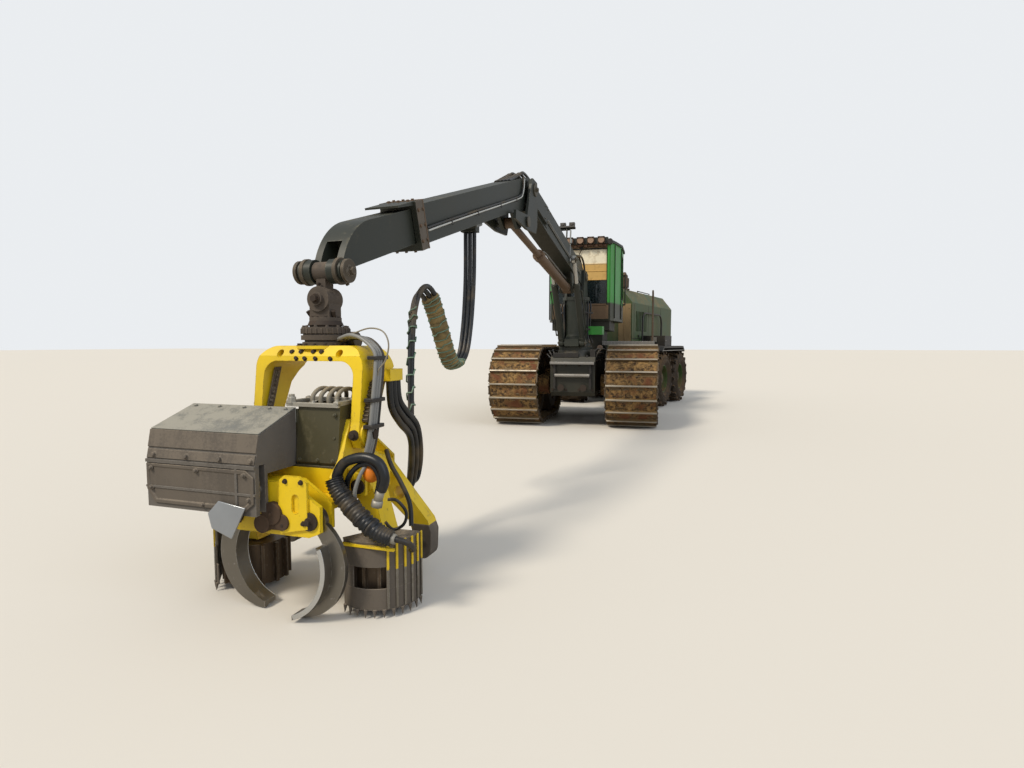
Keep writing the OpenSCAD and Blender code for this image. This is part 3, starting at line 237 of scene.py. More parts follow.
def skin(tree, tone, rough, more=None):
    """Ends a material in one skin, with a colour and a roughness."""
    made = add(tree, "BsdfPrincipled", {"Base Color": tone, "Roughness": rough, **(more or {})})
    add(tree, "OutputMaterial", {"Surface": made.outputs[0]})


# Black wire-braid hose: matt synthetic rubber, brown dust in patches; the faint blue in its black is a
# painted sheen.
hose_rubber, t = blank_material("hydraulic hose rubber")
place = add(t, "TexCoord").outputs["Object"]
dust_share = spread(t, noise(t, place, 3.5, 6.0, 0.6), 0.48, 0.75, 0, 0.65)
weave = add(t, "Bump", {"Height": noise(t, place, 450.0), "Strength": 0.25, "Distance": 0.001})
skin(t, mixed(t, dust_share, "#171b20", "#7d6c50"), spread(t, dust_share, 0, 1, 0.36, 0.9),
     {"Normal": weave.outputs["Normal"]})

# Guard spiral: tough moulded polyethylene, grey-green, scuffed dull.
spiral_plastic, t = blank_material("guard spiral plastic")
scuffs = noise(t, add(t, "TexCoord").outputs["Object"], 18.0, 5.0)
skin(t, mixed(t, scuffs, "#2c5a4c", "#8fa68f"), 0.42)

# Canvas sleeve: coarse tan cloth, dirty and matt.
sleeve_canvas, t = blank_material("tan canvas sleeve")
stains = noise(t, add(t, "TexCoord").outputs["Object"], 9.0, 7.0, 0.65)
skin(t, mixed(t, spread(t, stains, 0.35, 0.7), "#a08a5e", "#4b4630"), 0.95)

for name, side in (("hose_left", 1), ("hose_middle", 0), ("hose_right", -1)):
    marks = [on_crane @ (p + side * hose_pitch * hose_frame(i)[1]) for i, p in enumerate(hose_route)]
    line = smooth_line(marks, 6)
    hose = tube("free_" + name, line, hose_width, hose_rubber)
    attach(hose, "jib")
    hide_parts(name)


def bundle_point(share, turn, wide, thick):
    """A point on the flat oval round the three hoses, at a share of their way."""
    at = share * last_point
    i = min(int(at), last_point - 1)
    k = at - i
    middle = smooth_line([hose_route[max(i - 1, 0)], hose_route[i], hose_route[i + 1],
                          hose_route[min(i + 2, last_point)]], 8)[8 + round(8 * k)]
    across = hose_frame(i)[1].lerp(hose_frame(i + 1)[1], k).normalized()
    deep = hose_frame(i)[2].lerp(hose_frame(i + 1)[2], k).normalized()
    return on_crane @ (middle + wide * cos(turn) * across + thick * sin(turn) * deep)


# Every shape is made in turn: this one is worked on until it is handed over.
shape = bmesh.new()


def hand_over(name, at, material):
    """The finished shape as a smooth object, moved into place; the next shape is started."""
    global shape
    bmesh.ops.recalc_face_normals(shape, faces=shape.faces)
    shape.transform(at)
    mesh = bpy.data.meshes.new(name)
    shape.to_mesh(mesh)
    shape.free()
    shape = bmesh.new()
    mesh.shade_smooth()
    return to_scene(name, mesh, material)


guards = []
spiral_wide, spiral_thick, spiral_wire, turn_steps = 0.078, 0.032, 0.012, 16
for name, start, stop, turns in (("loop_spiral", 0.2, 0.41, 17), ("drop_spiral", 0.55, 0.66, 8)):
    steps = turns * turn_steps
    line = [bundle_point(start + (stop - start) * k / steps, 2 * pi * turns * k / steps, spiral_wide,
                         spiral_thick) for k in range(steps + 1)]
    guards.append(tube(name, line, spiral_wire, spiral_plastic, 1))
    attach(guards[-1], "jib")

sleeve_start, sleeve_share, sleeve_rings, sleeve_sides = 0.205, 0.215, 60, 24
sleeve_wide, sleeve_thick, tied_in = 0.0755, 0.031, 0.86
rings = []
for k in range(sleeve_rings + 1):
    share = sleeve_start + sleeve_share * k / sleeve_rings
    crease = 1.0 + 0.035 * sin(2.3 * k) + 0.02 * sin(5.1 * k)
    if k in (0, sleeve_rings):
        crease *= tied_in
    ring = [shape.verts.new(bundle_point(share, 2 * pi * j / sleeve_sides, sleeve_wide * crease,
                                         sleeve_thick * crease)) for j in range(sleeve_sides)]
    rings.append([shape.edges.new(pair) for pair in zip(ring, ring[1:] + ring[:1])])
for a, b in zip(rings, rings[1:]):
    bmesh.ops.bridge_loops(shape, edges=a + b)
bmesh.ops.holes_fill(shape, edges=shape.edges, sides=0)
guards.append(hand_over("canvas_sleeve", Matrix(), sleeve_canvas))
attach(guards[-1], "jib")

# Finishes of the machine
# Nearly all of it is sheet and cast steel, sprayed with alkyd enamel and then covered
# with forest dust, dried mud, scrapes and rust, so one weathered coat serves with other values.


def weathered(name, coat, dust="#8c7c60", bare="#6e675e", dusty=0.35, worn=0.5, shine=0.42, metal=0.0,
              edge=0.008, fade=0.5, grit=30.0, dark_below=None):
    """Enamel or bare steel with dust on what faces up, dirt in patches and wear along edges."""
    made, t = blank_material(name)
    place = add(t, "TexCoord").outputs["Object"]
    face = add(t, "NewGeometry").outputs["Normal"]
    clouds = noise(t, place, 2.3, 6.0, 0.62)
    specks = noise(t, place, grit, 8.0, 0.7)
    stretched = add(t, "Mapping", {"Vector": place, "Scale": (14.0, 14.0, 1.1)})
    runs = noise(t, stretched.outputs["Vector"], 1.0, 5.0)
    # worn edges: where the rounded normal leaves the face's own
    rounded = add(t, "Bevel", {"Radius": edge}, samples=3).outputs["Normal"]
    flat = add(t, "VectorMath", {0: rounded, 1: face}, operation="DOT_PRODUCT").outputs["Value"]
    chipped = maths(t, "MULTIPLY", spread(t, flat, 0.995, 0.86), spread(t, specks, 0.42, 0.6))
    chipped = maths(t, "MAXIMUM", chipped, spread(t, specks, 0.7 - 0.08 * worn, 0.76))
    chipped = maths(t, "MULTIPLY", chipped, worn, clamp=True)
    # dust: on faces that look up, in clouds and in runs
    up = spread(t, add(t, "SeparateXYZ", {"Vector": face}).outputs["Z"], -0.1, 0.9, 0.25)
    patch = maths(t, "ADD", maths(t, "ADD", clouds, runs), specks)
    patch = spread(t, patch, 1.75 - 0.75 * dusty, 2.15 - 0.75 * dusty)
    film = spread(t, clouds, 0.3, 0.7, 0.12 * dusty, 0.55 * dusty)
    settled = maths(t, "MAXIMUM", maths(t, "MULTIPLY", patch, up), film, clamp=True)
    darker = tuple(0.55 * c for c in linear(coat)[:3]) + (1,)
    tone = mixed(t, spread(t, clouds, 0.3, 0.7, 0, fade), coat, darker)
    if dark_below:
        height = add(t, "SeparateXYZ", {"Vector": place}).outputs["Z"]
        tone = mixed(t, spread(t, height, dark_below, dark_below - 0.03), tone, "#1c211b")
    tone = mixed(t, settled, mixed(t, chipped, tone, bare), dust)
    metallic = maths(t, "MULTIPLY", maths(t, "SUBTRACT", 1.0, settled), metal or chipped)
    crust = maths(t, "MULTIPLY", settled, specks)
    bump = add(t, "Bump", {"Height": crust, "Strength": 0.5, "Distance": 0.003}).outputs["Normal"]
    skin(t, tone, spread(t, settled, 0, 1, shine, 0.95), {"Metallic": metallic, "Normal": bump})
    return made


def wear(material, *names):
    """Gives CAD nodes their finish."""
    for n in names:
        cad[n].data.materials.clear()
        cad[n].data.materials.append(material)


# Enamels on sheet and cast steel, under dust.
# The crane's coat is partly its own dark green and partly painted shade: it is darkened so that the column,
# boom and jib look as if in shade.
crane_green_darkened_as_shade = weathered("dark green crane enamel darkened as painted shade", "#1c2521", dusty=0.24, dust="#6f6a58", bare="#8b8a80")
frame_green = weathered("dark green frame enamel", "#161d18", dusty=0.38, worn=0.4, dust="#6f6450")
hood_green = weathered("hood green enamel", "#1f4a26", dusty=0.55, worn=0.25, dust="#8d7b5a")
cab_green, cab_sides = (
    weathered(name, "#2f9a3c", dusty=0.25, worn=0.2, shine=0.3, dust="#8d8a5a", dark_below=below)
    for name, below in (("bright green cab enamel", None), ("cab enamel over a dark base", 2.31)))
rim_green = weathered("green rim enamel", "#2c6a35", dusty=0.9, worn=0.4, dust="#7a6342")
black_paint = weathered("black satin enamel", "#15161a", dusty=0.3, worn=0.4, dust="#6d6250", bare="#77797d")
head_yellow = weathered(
    "yellow head enamel", "#f8d410", dusty=0.24, worn=0.9, dust="#9c8a5e", bare="#5b4a38", shine=0.38)
olive_cover = weathered(
    "olive valve cover enamel", "#3d3a24", dusty=0.45, worn=0.4, dust="#7d7458", bare="#8b8a80")
# Steel that is worn, scraped or plated, under rust, dust and mud.
worn_steel = weathered(
    "worn rusty steel", "#55483c", dusty=0.45, worn=0.8, dust="#86745a", bare="#9a958c", metal=0.75)
bright_steel = weathered(
    "polished wear steel", "#8d8a84", dusty=0.22, worn=0.9, dust="#7d6c50", bare="#c5c6c6", metal=0.95,
    shine=0.28)
saw_steel = weathered(
    "dusty saw box steel", "#57524c", dusty=0.85, worn=0.7, dust="#85807a", bare="#8f8a83", metal=0.2,
    shine=0.6, grit=55.0)
cast_grey = weathered("grey cast iron", "#4b4c4a", dusty=0.5, worn=0.3, metal=0.4, shine=0.6)
dusty_brown = weathered("dust-caked cylinder", "#554536", dusty=1.0, worn=0.3, dust="#7f6650")
rod_chrome = weathered("chromed rod", "#c9c9c6", dusty=0.15, worn=0.0, metal=1.0, shine=0.15)
mud_steel = weathered(
    "track steel in dry mud", "#584a38", dusty=0.85, worn=1.0, dust="#83693f", bare="#c9c4b8", metal=0.55,
    shine=0.4, edge=0.012, grit=18.0)
# Black tyre rubber with dried mud in its tread.
tyre_rubber = weathered(
    "muddy tyre rubber", "#1d1b19", dusty=0.75, worn=0.0, dust="#6b5233", shine=0.75, grit=20.0)

wear(frame_green, "front_frame", "rear_frame", "rear_bogies")
wear(tyre_rubber, "front_tyres", "tyre_rl1", "tyre_rl2", "tyre_rr1", "tyre_rr2")
wear(rim_green, "front_rims", "rim_rl1", "rim_rl2", "rim_rr1", "rim_rr2")
wear(mud_steel, "track_left", "track_right")
wear(cab_green, "column_box")
wear(cab_sides, "cab_shell", "cab_door")
wear(crane_green_darkened_as_shade, "cab_roof", "column", "lift_barrel", "main_boom", "elbow_link", "jib", "jib_extension")
wear(worn_steel, "cab_steps", "exhaust", "feed_roller_left", "feed_roller_right")
wear(black_paint, "nose_guard", "rear_grille", "rear_rails", "rear_fenders", "cab_seat")
wear(hood_green, "hood")
wear(cast_grey, "engine_block")
wear(rod_chrome, "lift_rod")
wear(dusty_brown, "jib_barrel", "jib_rod")
wear(head_yellow, "tilt_frame", "head_frame", "knife_far_left", "knife_far_right", "feed_arm_left",
     "feed_arm_right")
wear(olive_cover, "valve_box")
wear(saw_steel, "saw_box")
wear(bright_steel, "saw_bar", "knife_near_left", "knife_near_right")

# Tinted safety glass: near black, glossy, a little see-through.
cab_glass, t = blank_material("tinted cab glass")
skin(t, linear("#20292b"), 0.06, {"Alpha": 0.72, "Coat Weight": 0.4})
wear(cab_glass, "cab_glass", "cab_door_glass")

# Saw box covers
# Folded and bolted sheet steel over the saw: a speckled grey lid, two front bands with
# a seam, a chamfered lower plate, and below it a scraped guard plate and rusty pivots.


def block(low, high, turn=None):
    """A box between two corners, turned about its middle."""
    low, high = Vector(low), Vector(high)
    place = Matrix.Translation((low + high) / 2) @ (turn or Matrix()) @ Matrix.Diagonal((*(high - low), 1.0))
    bmesh.ops.create_cube(shape, size=1.0, matrix=place)


def bar(start, end, radius, sides=20, end_radius=None):
    """A round bar or cone between two points."""
    start, end = Vector(start), Vector(end)
    turn = (end - start).to_track_quat("Z", "Y").to_matrix().to_4x4()
    bmesh.ops.create_cone(
        shape, cap_ends=True, segments=sides, radius1=radius,
        radius2=radius if end_radius is None else end_radius, depth=(end - start).length,
        matrix=Matrix.Translation((start + end) / 2) @ turn)


def plate(corners, thick):
    """A flat outline, extruded by the vector thick."""
    face = shape.faces.new([shape.verts.new(c) for c in corners])
    made = bmesh.ops.extrude_face_region(shape, geom=[face])["geom"]
    bmesh.ops.translate(shape, vec=thick, verts=[v for v in made if isinstance(v, bmesh.types.BMVert)])


def bolt(at, way, width=0.03):
    """A hexagon head on its washer, both in shares of the head's width."""
    at, way = Vector(at), Vector(way).normalized()
    bar(at - 0.004 * way, at + 0.12 * width * way, 0.68 * width, 16)
    bar(at, at + 0.62 * width * way, 0.5 * width, 6)


def cap(start, end, radius, width, sides=20):
    """A round cap with one bolt on its end."""
    bar(start, end, radius, sides)
    bolt(end, Vector(end) - Vector(start), width)


def bolt_ring(count, radius, x, y, z, width, first=0.0):
    """Bolts that look up, evenly round an upright axis."""
    for k in range(count):
        turn = 2 * pi * (k + first) / count
        bolt((x + radius * cos(turn), y + radius * sin(turn), z), (0, 0, 1), width)


def piece(name, at, material, body, edge=0.003, angle=35.0):
    """Hands the shape over: moved into place, its corners rounded, riding a body."""
    made = hand_over(name, at, material)
    made.data.set_sharp_from_angle(angle=radians(angle))
    if edge:
        rounding = made.modifiers.new("rounded edges", "BEVEL")
        rounding.width = edge
        rounding.segments = 2
        rounding.limit_method = "ANGLE"
        rounding.angle_limit = radians(angle)
    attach(made, body)
    return made


# Sheet under saw dust and bark: the lid is grey with pale specks, its lighter grey partly dust and partly
# painted light on its lit top; brown-grey on its front.
lid_grey_with_painted_light = weathered(
    "speckled grey lid lightened as painted light", "#6f706c", dusty=0.75, worn=0.5, dust="#9a978c", bare="#b3b2ac", shine=0.55,
    grit=90.0)
brown_front = weathered(
    "brown-grey saw front", "#4d4741", dusty=0.75, worn=0.7, dust="#877c6e", bare="#938b80", shine=0.6,
    grit=70.0)
scraped_steel = weathered(
    "scraped bright steel", "#b9bfc6", dusty=0.1, worn=0.3, dust="#8f7a5a", bare="#e6e9ec", metal=0.9,
    shine=0.3, grit=50.0)
rusty_brown = weathered(
    "rusty cast lumps", "#3a2c22", dusty=0.55, worn=0.7, dust="#6b5138", bare="#6e5a48", shine=0.75)

saw_face = 0.6133
plate([(0.284, -0.757, 1.132), (0.58, -0.757, 1.021), (0.583, -0.757, 1.028), (0.287, -0.757, 1.139)],
      (0, 0.744, 0))
block((0.279, -0.762, 1.05), (0.286, -0.01, 1.138))
for y in (-0.7, -0.52, -0.34, -0.16, -0.05):
    bolt((0.32, y, 1.125), (0.35, 0, 0.94), 0.022)
piece("saw_lid", on_head, lid_grey_with_painted_light, "head_frame")

plate([(0.58, -0.758, 1.02), (0.6, -0.758, 0.925), (0.607, -0.758, 0.927), (0.587, -0.758, 1.024)],
      (0, 0.748, 0))
plate([(0.602, -0.754, 0.915), (0.613, -0.754, 0.866), (0.62, -0.754, 0.867), (0.609, -0.754, 0.917)],
      (0, 0.74, 0))
corners = [(-0.755, 0.69), (-0.7, 0.615), (-0.075, 0.615), (-0.02, 0.66), (-0.02, 0.8), (-0.07, 0.836),
           (-0.755, 0.836)]
plate([(saw_face, y, z) for y, z in corners], (0.01, 0, 0))
front = saw_face + 0.01
fronts = [f for f in shape.faces if abs(f.calc_center_median().x - front) < 1e-4 and f.normal.x ** 2 > 0.9]
for face in fronts:
    bmesh.ops.inset_region(shape, faces=[face], thickness=0.022, depth=0)
    bmesh.ops.inset_region(shape, faces=[face], thickness=0.004, depth=-0.006)
for y in (-0.7, -0.47, -0.24, -0.035):
    bolt((0.615, y, 0.885), (0.97, 0, 0.2), 0.026)
for y, z in ((-0.72, 0.81), (-0.4, 0.815), (-0.08, 0.81), (-0.72, 0.7), (-0.05, 0.68), (-0.36, 0.63)):
    bolt((front, y, z), (1, 0, 0), 0.022)
block((0.3, -0.766, 0.6), (0.61, -0.757, 0.86))
for x in (0.34, 0.46, 0.58):
    bolt((x, -0.766, 0.83), (0, -1, 0), 0.026)
piece("saw_front", on_head, brown_front, "head_frame")

plate([(0.64, -0.3, 0.595), (0.632, -0.235, 0.665), (0.632, -0.06, 0.64), (0.655, -0.132, 0.475),
       (0.655, -0.262, 0.52)], (0.01, 0, 0.002))
piece("scraped_guard", on_head, scraped_steel, "head_frame")

block((0.6, -0.2, 0.55), (0.642, -0.12, 0.62))
bar((0.5, 0.015, 0.59), (0.54, 0.015, 0.59), 0.062)
bar((0.5, 0.075, 0.545), (0.534, 0.075, 0.545), 0.045)
bar((0.5, -0.045, 0.53), (0.545, -0.045, 0.53), 0.05)
block((0.5, -0.05, 0.5), (0.53, 0.055, 0.6))
bolt((0.54, 0.015, 0.59), (1, 0, 0), 0.02)
piece("saw_pivots", on_head, rusty_brown, "head_frame", 0.006)

# Valve box fittings
# The olive sheet box over the valves: a wider front sheet, a frame of pale worn angle
# steel round its open top, and the hoses and screwed fittings that go in there.

pale_frame = weathered(
    "worn pale angle steel", "#a7a49a", dusty=0.35, worn=0.9, dust="#857a62", bare="#d4d2cb", metal=0.4)
pale_hose = weathered("dusty grey hose", "#8f897b", dusty=0.5, worn=0.0, dust="#a3957a", shine=0.6)

block((0.262, -0.15, 0.8), (0.274, -0.006, 1.128))
block((0.262, -0.15, 0.8), (0.3, 0.262, 0.812))
for y in (-0.12, 0.02, 0.14, 0.24):
    bolt((0.3 if y > 0 else 0.276, y, 0.84), (1, 0, 0), 0.02)
for y, z in ((-0.12, 1.1), (0.245, 1.1), (0.245, 0.97)):
    bolt((0.279, y, z), (1, 0, 0.15), 0.018)
piece("valve_front", on_head, olive_cover, "head_frame", 0.002)

for low, high in (
        ((0.255, -0.075, 1.142), (0.285, 0.272, 1.166)), ((0.085, -0.075, 1.16), (0.112, 0.272, 1.184)),
        ((0.085, -0.075, 1.15), (0.285, -0.045, 1.176)), ((0.085, 0.242, 1.15), (0.285, 0.272, 1.176))):
    block(low, high)
bar((0.272, -0.045, 1.16), (0.272, -0.045, 1.196), 0.026, 6)
bar((0.272, -0.045, 1.19), (0.272, -0.045, 1.212), 0.017)
for x, y in ((0.27, 0.257), (0.1, 0.257), (0.1, -0.06), (0.27, 0.1)):
    bolt((x, y, 1.176 if x < 0.2 or y > 0.2 else 1.166), (0, 0, 1), 0.02)
for k in range(4):
    bar((0.18, 0.03 + 0.055 * k, 1.09), (0.18, 0.03 + 0.055 * k, 1.15), 0.017, 6)
piece("valve_top_frame", on_head, pale_frame, "head_frame", 0.002)


def pipe(name, at, points, width, material, body, sides=3, steps=6):
    """A stiff hose or pipe through points, riding a body."""
    line = smooth_line([at @ Vector(p) for p in points], steps)
    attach(tube(name, line, width, material, sides), body)


for k in range(4):
    y = 0.03 + 0.055 * k
    points = ((0.18, y, 1.15), (0.175, y, 1.2), (0.12, y + 0.01, 1.235), (0.04, y + 0.02, 1.22),
              (-0.03, 0.8 * y, 1.13), (-0.06, 0.6 * y, 0.98), (-0.08, 0.5 * y, 0.86))
    pipe("valve_hose_%d" % (k + 1), on_head, points, 0.026, pale_hose, "head_frame")

# Tilt frame fittings
# On the cast arch: the rusty bolts of the rotator's flange, cap nuts over the tilt pins,
# a riveted wear rail on each leg, and grey hoses that go over the shoulder.

dark_bolts = weathered(
    "dark rusty bolts", "#2b211a", dusty=0.3, worn=0.3, dust="#5a4532", bare="#6b5a48", shine=0.7)
rail_grey = weathered(
    "riveted grey rail", "#5d554b", dusty=0.45, worn=0.8, dust="#7d6c55", bare="#a39c92", metal=0.5)
silver_hose = weathered(
    "silver-grey hose sheath", "#8b8d8c", dusty=0.35, worn=0.0, dust="#7f7768", shine=0.38)

for k, y in enumerate((-0.125, -0.082, -0.06, -0.022, 0.026, 0.052, 0.082, 0.154)):
    z, front, back = ((1.452, 0.157, -0.142), (1.415, 0.174, -0.154))[k % 2]
    bolt((front, y, z), (1, 0, 0.2), 0.024)
    bolt((back, y, z), (-1, 0, 0.2), 0.024)
bolt_ring(16, 0.158, 0, 0, 1.49, 0.022, 0.5)
for side in (1, -1):
    cap((0.23, 0.34 * side, 0.985), (0.246, 0.34 * side, 0.985), 0.03, 0.034)
    bolt((0.15, 0.395 * side, 0.985), (0, side, 0), 0.06)
piece("arch_bolts", on_head, dark_bolts, "tilt_frame", 0.0015)

for side in (1, -1):
    for k in range(10):
        share = k / 9
        middle = Vector((0.095 + 0.085 * share, 0.386 * side, 1.275 - 0.2 * share))
        block(middle - Vector((0.022, 0.02, 0.009)), middle + Vector((0.022, 0.02, 0.009)),
              Matrix.Rotation(0.45, 4, "Y"))
        bar(middle + Vector((0.0, 0.02 * side, 0)), middle + Vector((0.0, 0.028 * side, 0)), 0.007, 8)
    plate([(0.05, 0.3 * side, 1.36), (0.11, 0.3 * side, 1.36), (0.19, 0.3 * side, 1.105),
           (0.135, 0.3 * side, 1.105)], (0, -0.008 * side, 0))
    for k in range(9):
        share = k / 8
        bolt((0.09 + 0.07 * share, 0.292 * side, 1.33 - 0.2 * share), (0, -side, 0), 0.02)
piece("leg_rails", on_head, rail_grey, "tilt_frame", 0.002)

for k in range(4):
    x = 0.026 * k
    points = ((-0.02 + x, 0.13, 1.53), (0.01 + x, 0.23, 1.535 + 0.006 * k), (0.03 + x, 0.33, 1.525),
              (0.05 + x, 0.415, 1.455), (0.07 + x, 0.432, 1.36), (0.09 + x, 0.428, 1.22),
              (0.105 + x, 0.42, 1.08), (0.12 + x, 0.412, 0.96), (0.14 + x, 0.395, 0.86))
    material = silver_hose if k else hose_rubber
    pipe("shoulder_hose_%d" % (k + 1), on_head, points, 0.023, material, "tilt_frame")
for z, x in ((1.41, 0.1), (1.17, 0.14), (1.02, 0.155)):
    block((x - 0.072, 0.385, z), (x + 0.06, 0.447, z + 0.022))
piece("shoulder_clamps", on_head, black_paint, "tilt_frame")
points = ((0.06, 0.12, 1.52), (0.09, 0.25, 1.56), (0.12, 0.38, 1.59), (0.14, 0.48, 1.57),
          (0.15, 0.52, 1.5), (0.15, 0.5, 1.41), (0.14, 0.445, 1.345), (0.12, 0.43, 1.26))
pipe("loose_wire", on_head, points, 0.009, pale_hose, "tilt_frame", 2, 8)

# Rotator and link
# The rotator is a cast motor with a finned upper cap, a hose swivel at its side and
# screwed fittings. The link above it is forged steel with greased pins.

rotator_cast = weathered(
    "rotator casting", "#3f3833", dusty=0.75, worn=0.4, dust="#75685a", bare="#8d857c", shine=0.7)
wear(rotator_cast, "rotator", "tip_link")


def outward(turn):
    """A level step of one metre at this angle."""
    return Vector((cos(turn), sin(turn), 0))


fins = 28
for k in range(fins):
    turn = 2 * pi * k / fins
    out = outward(turn)
    middle = 0.141 * out + Vector((0, 0, 1.577))
    block(middle - Vector((0.006, 0.005, 0.016)), middle + Vector((0.006, 0.005, 0.016)),
          Matrix.Rotation(turn, 4, "Z"))
bolt_ring(12, 0.128, 0, 0, 1.5995, 0.02, 0.3)
bar((-0.05, 0.1, 1.53), (-0.05, 0.19, 1.53), 0.045)
bar((-0.14, 0.03, 1.52), (-0.25, 0.05, 1.52), 0.055)
for k in range(4):
    bar((-0.02 + 0.026 * k, 0.135, 1.53), (-0.02 + 0.026 * k, 0.165, 1.531), 0.016, 6)
piece("rotator_fins", on_head, rotator_cast, "tilt_frame", 0.002)

bar((0, 0, 1.612), (0, 0, 1.655), 0.108, 32, 0.088)
bolt_ring(10, 0.082, 0, 0, 1.655, 0.018)
for side in (1, -1):
    bolt((0.095 * side, 0, 1.77), (side, 0, 0), 0.045)
    bar((0.05 * side, 0, 1.86), (0.075 * side, 0, 1.86), 0.01, 6)
for y in (-0.07, 0.07):
    bar((0.0, y, 1.63), (0.05, 1.3 * y, 1.7), 0.014, 6)
piece("swivel_cap", on_head, dark_bolts, "tip_link", 0.002)

# Feed side hoses
# From the frame to the feed motor runs a ribbed rubber sleeve held by straps, with
# thinner hoses looped above it, a grey adapter and an orange moulded cap.


def hose_mesh(name, at, points, width, material):
    """A hose as a smooth mesh, made from a curve."""
    soft = tube(name, smooth_line([at @ Vector(p) for p in points], 8), width, material)
    mesh = bpy.data.meshes.new_from_object(soft.evaluated_get(bpy.context.evaluated_depsgraph_get()))
    bpy.data.objects.remove(soft)
    mesh.name = name
    mesh.materials.clear()
    mesh.shade_smooth()
    return to_scene(name, mesh, material)


def on_arm(made):
    """Bakes the placement of a piece that runs from the frame to the left feed arm into its mesh."""
    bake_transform(made)


path = smooth_line([Vector(p) for p in (
    (0.372, 0.3, 0.765), (0.376, 0.322, 0.715), (0.378, 0.37, 0.655), (0.38, 0.44, 0.592),
    (0.382, 0.51, 0.535), (0.382, 0.59, 0.488), (0.378, 0.655, 0.47))], 16)
rings = []
for i, at in enumerate(path):
    way = (path[min(i + 1, len(path) - 1)] - path[max(i - 1, 0)]).normalized()
    share = i / (len(path) - 1)
    radius = (0.049 + 0.004 * sin(i * 1.55)) * (1.0 if share < 0.8 else 1.0 - 0.9 * (share - 0.8))
    turn = way.to_track_quat("Z", "Y").to_matrix().to_4x4()
    ring = bmesh.ops.create_circle(shape, segments=20, radius=radius, matrix=Matrix.Translation(at) @ turn)
    rings.append(list({e for v in ring["verts"] for e in v.link_edges}))
for a, b in zip(rings, rings[1:]):
    bmesh.ops.bridge_loops(shape, edges=a + b)
bmesh.ops.holes_fill(shape, edges=shape.edges, sides=0)
on_arm(hand_over("feed_sleeve", on_head, hose_rubber))

for share in (0.3, 0.44, 0.58, 0.72):
    i = round(share * (len(path) - 1))
    way = (path[i + 1] - path[i - 1]).normalized()
    bar(path[i] - 0.007 * way, path[i] + 0.007 * way, 0.0555, 24)
on_arm(hand_over("sleeve_straps", on_head, black_paint))

feed_hoses = (
    ("arc_hose", 0.058, hose_rubber, ((0.36, 0.305, 0.7), (0.355, 0.306, 0.775), (0.35, 0.345, 0.845),
                                      (0.35, 0.42, 0.88), (0.35, 0.5, 0.888), (0.35, 0.57, 0.86),
                                      (0.35, 0.6, 0.785), (0.345, 0.575, 0.715))),
    ("inner_hose", 0.03, hose_rubber, ((0.3, 0.33, 0.66), (0.33, 0.36, 0.76), (0.34, 0.43, 0.835),
                                       (0.34, 0.51, 0.85), (0.33, 0.555, 0.78), (0.33, 0.54, 0.69))),
    ("thin_hose", 0.022, silver_hose, ((0.31, 0.4, 0.6), (0.36, 0.42, 0.69), (0.36, 0.45, 0.78),
                                       (0.33, 0.47, 0.84), (0.27, 0.44, 0.87))),
    ("ring_hose", 0.018, hose_rubber, ((0.25, 0.56, 0.64), (0.24, 0.61, 0.635), (0.22, 0.655, 0.57),
                                       (0.22, 0.64, 0.5), (0.24, 0.585, 0.47), (0.28, 0.56, 0.52))),
    ("end_hose", 0.034, hose_rubber, ((0.378, 0.65, 0.471), (0.37, 0.7, 0.462), (0.345, 0.735, 0.44),
                                      (0.3, 0.74, 0.4), (0.25, 0.7, 0.37))),
    ("low_hose", 0.026, hose_rubber, ((0.32, 0.3, 0.66), (0.33, 0.33, 0.58), (0.33, 0.4, 0.52),
                                      (0.33, 0.48, 0.47), (0.32, 0.56, 0.43), (0.28, 0.6, 0.415))),
    ("back_hose", 0.028, hose_rubber, ((-0.02, 0.395, 0.86), (0.02, 0.45, 0.78), (0.03, 0.52, 0.68),
                                       (0.02, 0.57, 0.56), (0.04, 0.59, 0.43))))
for name, width, material, points in feed_hoses:
    on_arm(hose_mesh(name, on_head, points, width, material))

bar((0.345, 0.575, 0.72), (0.35, 0.556, 0.655), 0.024)
bar((0.35, 0.556, 0.66), (0.352, 0.548, 0.625), 0.031, 6)
bar((0.305, 0.33, 0.672), (0.3, 0.325, 0.64), 0.024, 6)
bar((0.378, 0.64, 0.471), (0.376, 0.675, 0.468), 0.03, 6)
on_arm(hand_over("hose_adapters", on_head, pale_frame))

orange_cap, t = blank_material("orange moulded cap")
skin(t, linear("#e07d12"), 0.45)
place = Matrix.Translation((0.298, 0.487, 0.795)) @ Matrix.Diagonal((1, 1, 1.15, 1))
bmesh.ops.create_uvsphere(shape, u_segments=24, v_segments=14, radius=0.047, matrix=place)
piece("orange_cap", on_head, orange_cap, "head_frame", 0)

# Roller guards and teeth
# Round each feed roller stands a bent steel guard with an open window, welded wear strips
# that show yellow above and worn grey below, and teeth along its lower edge.

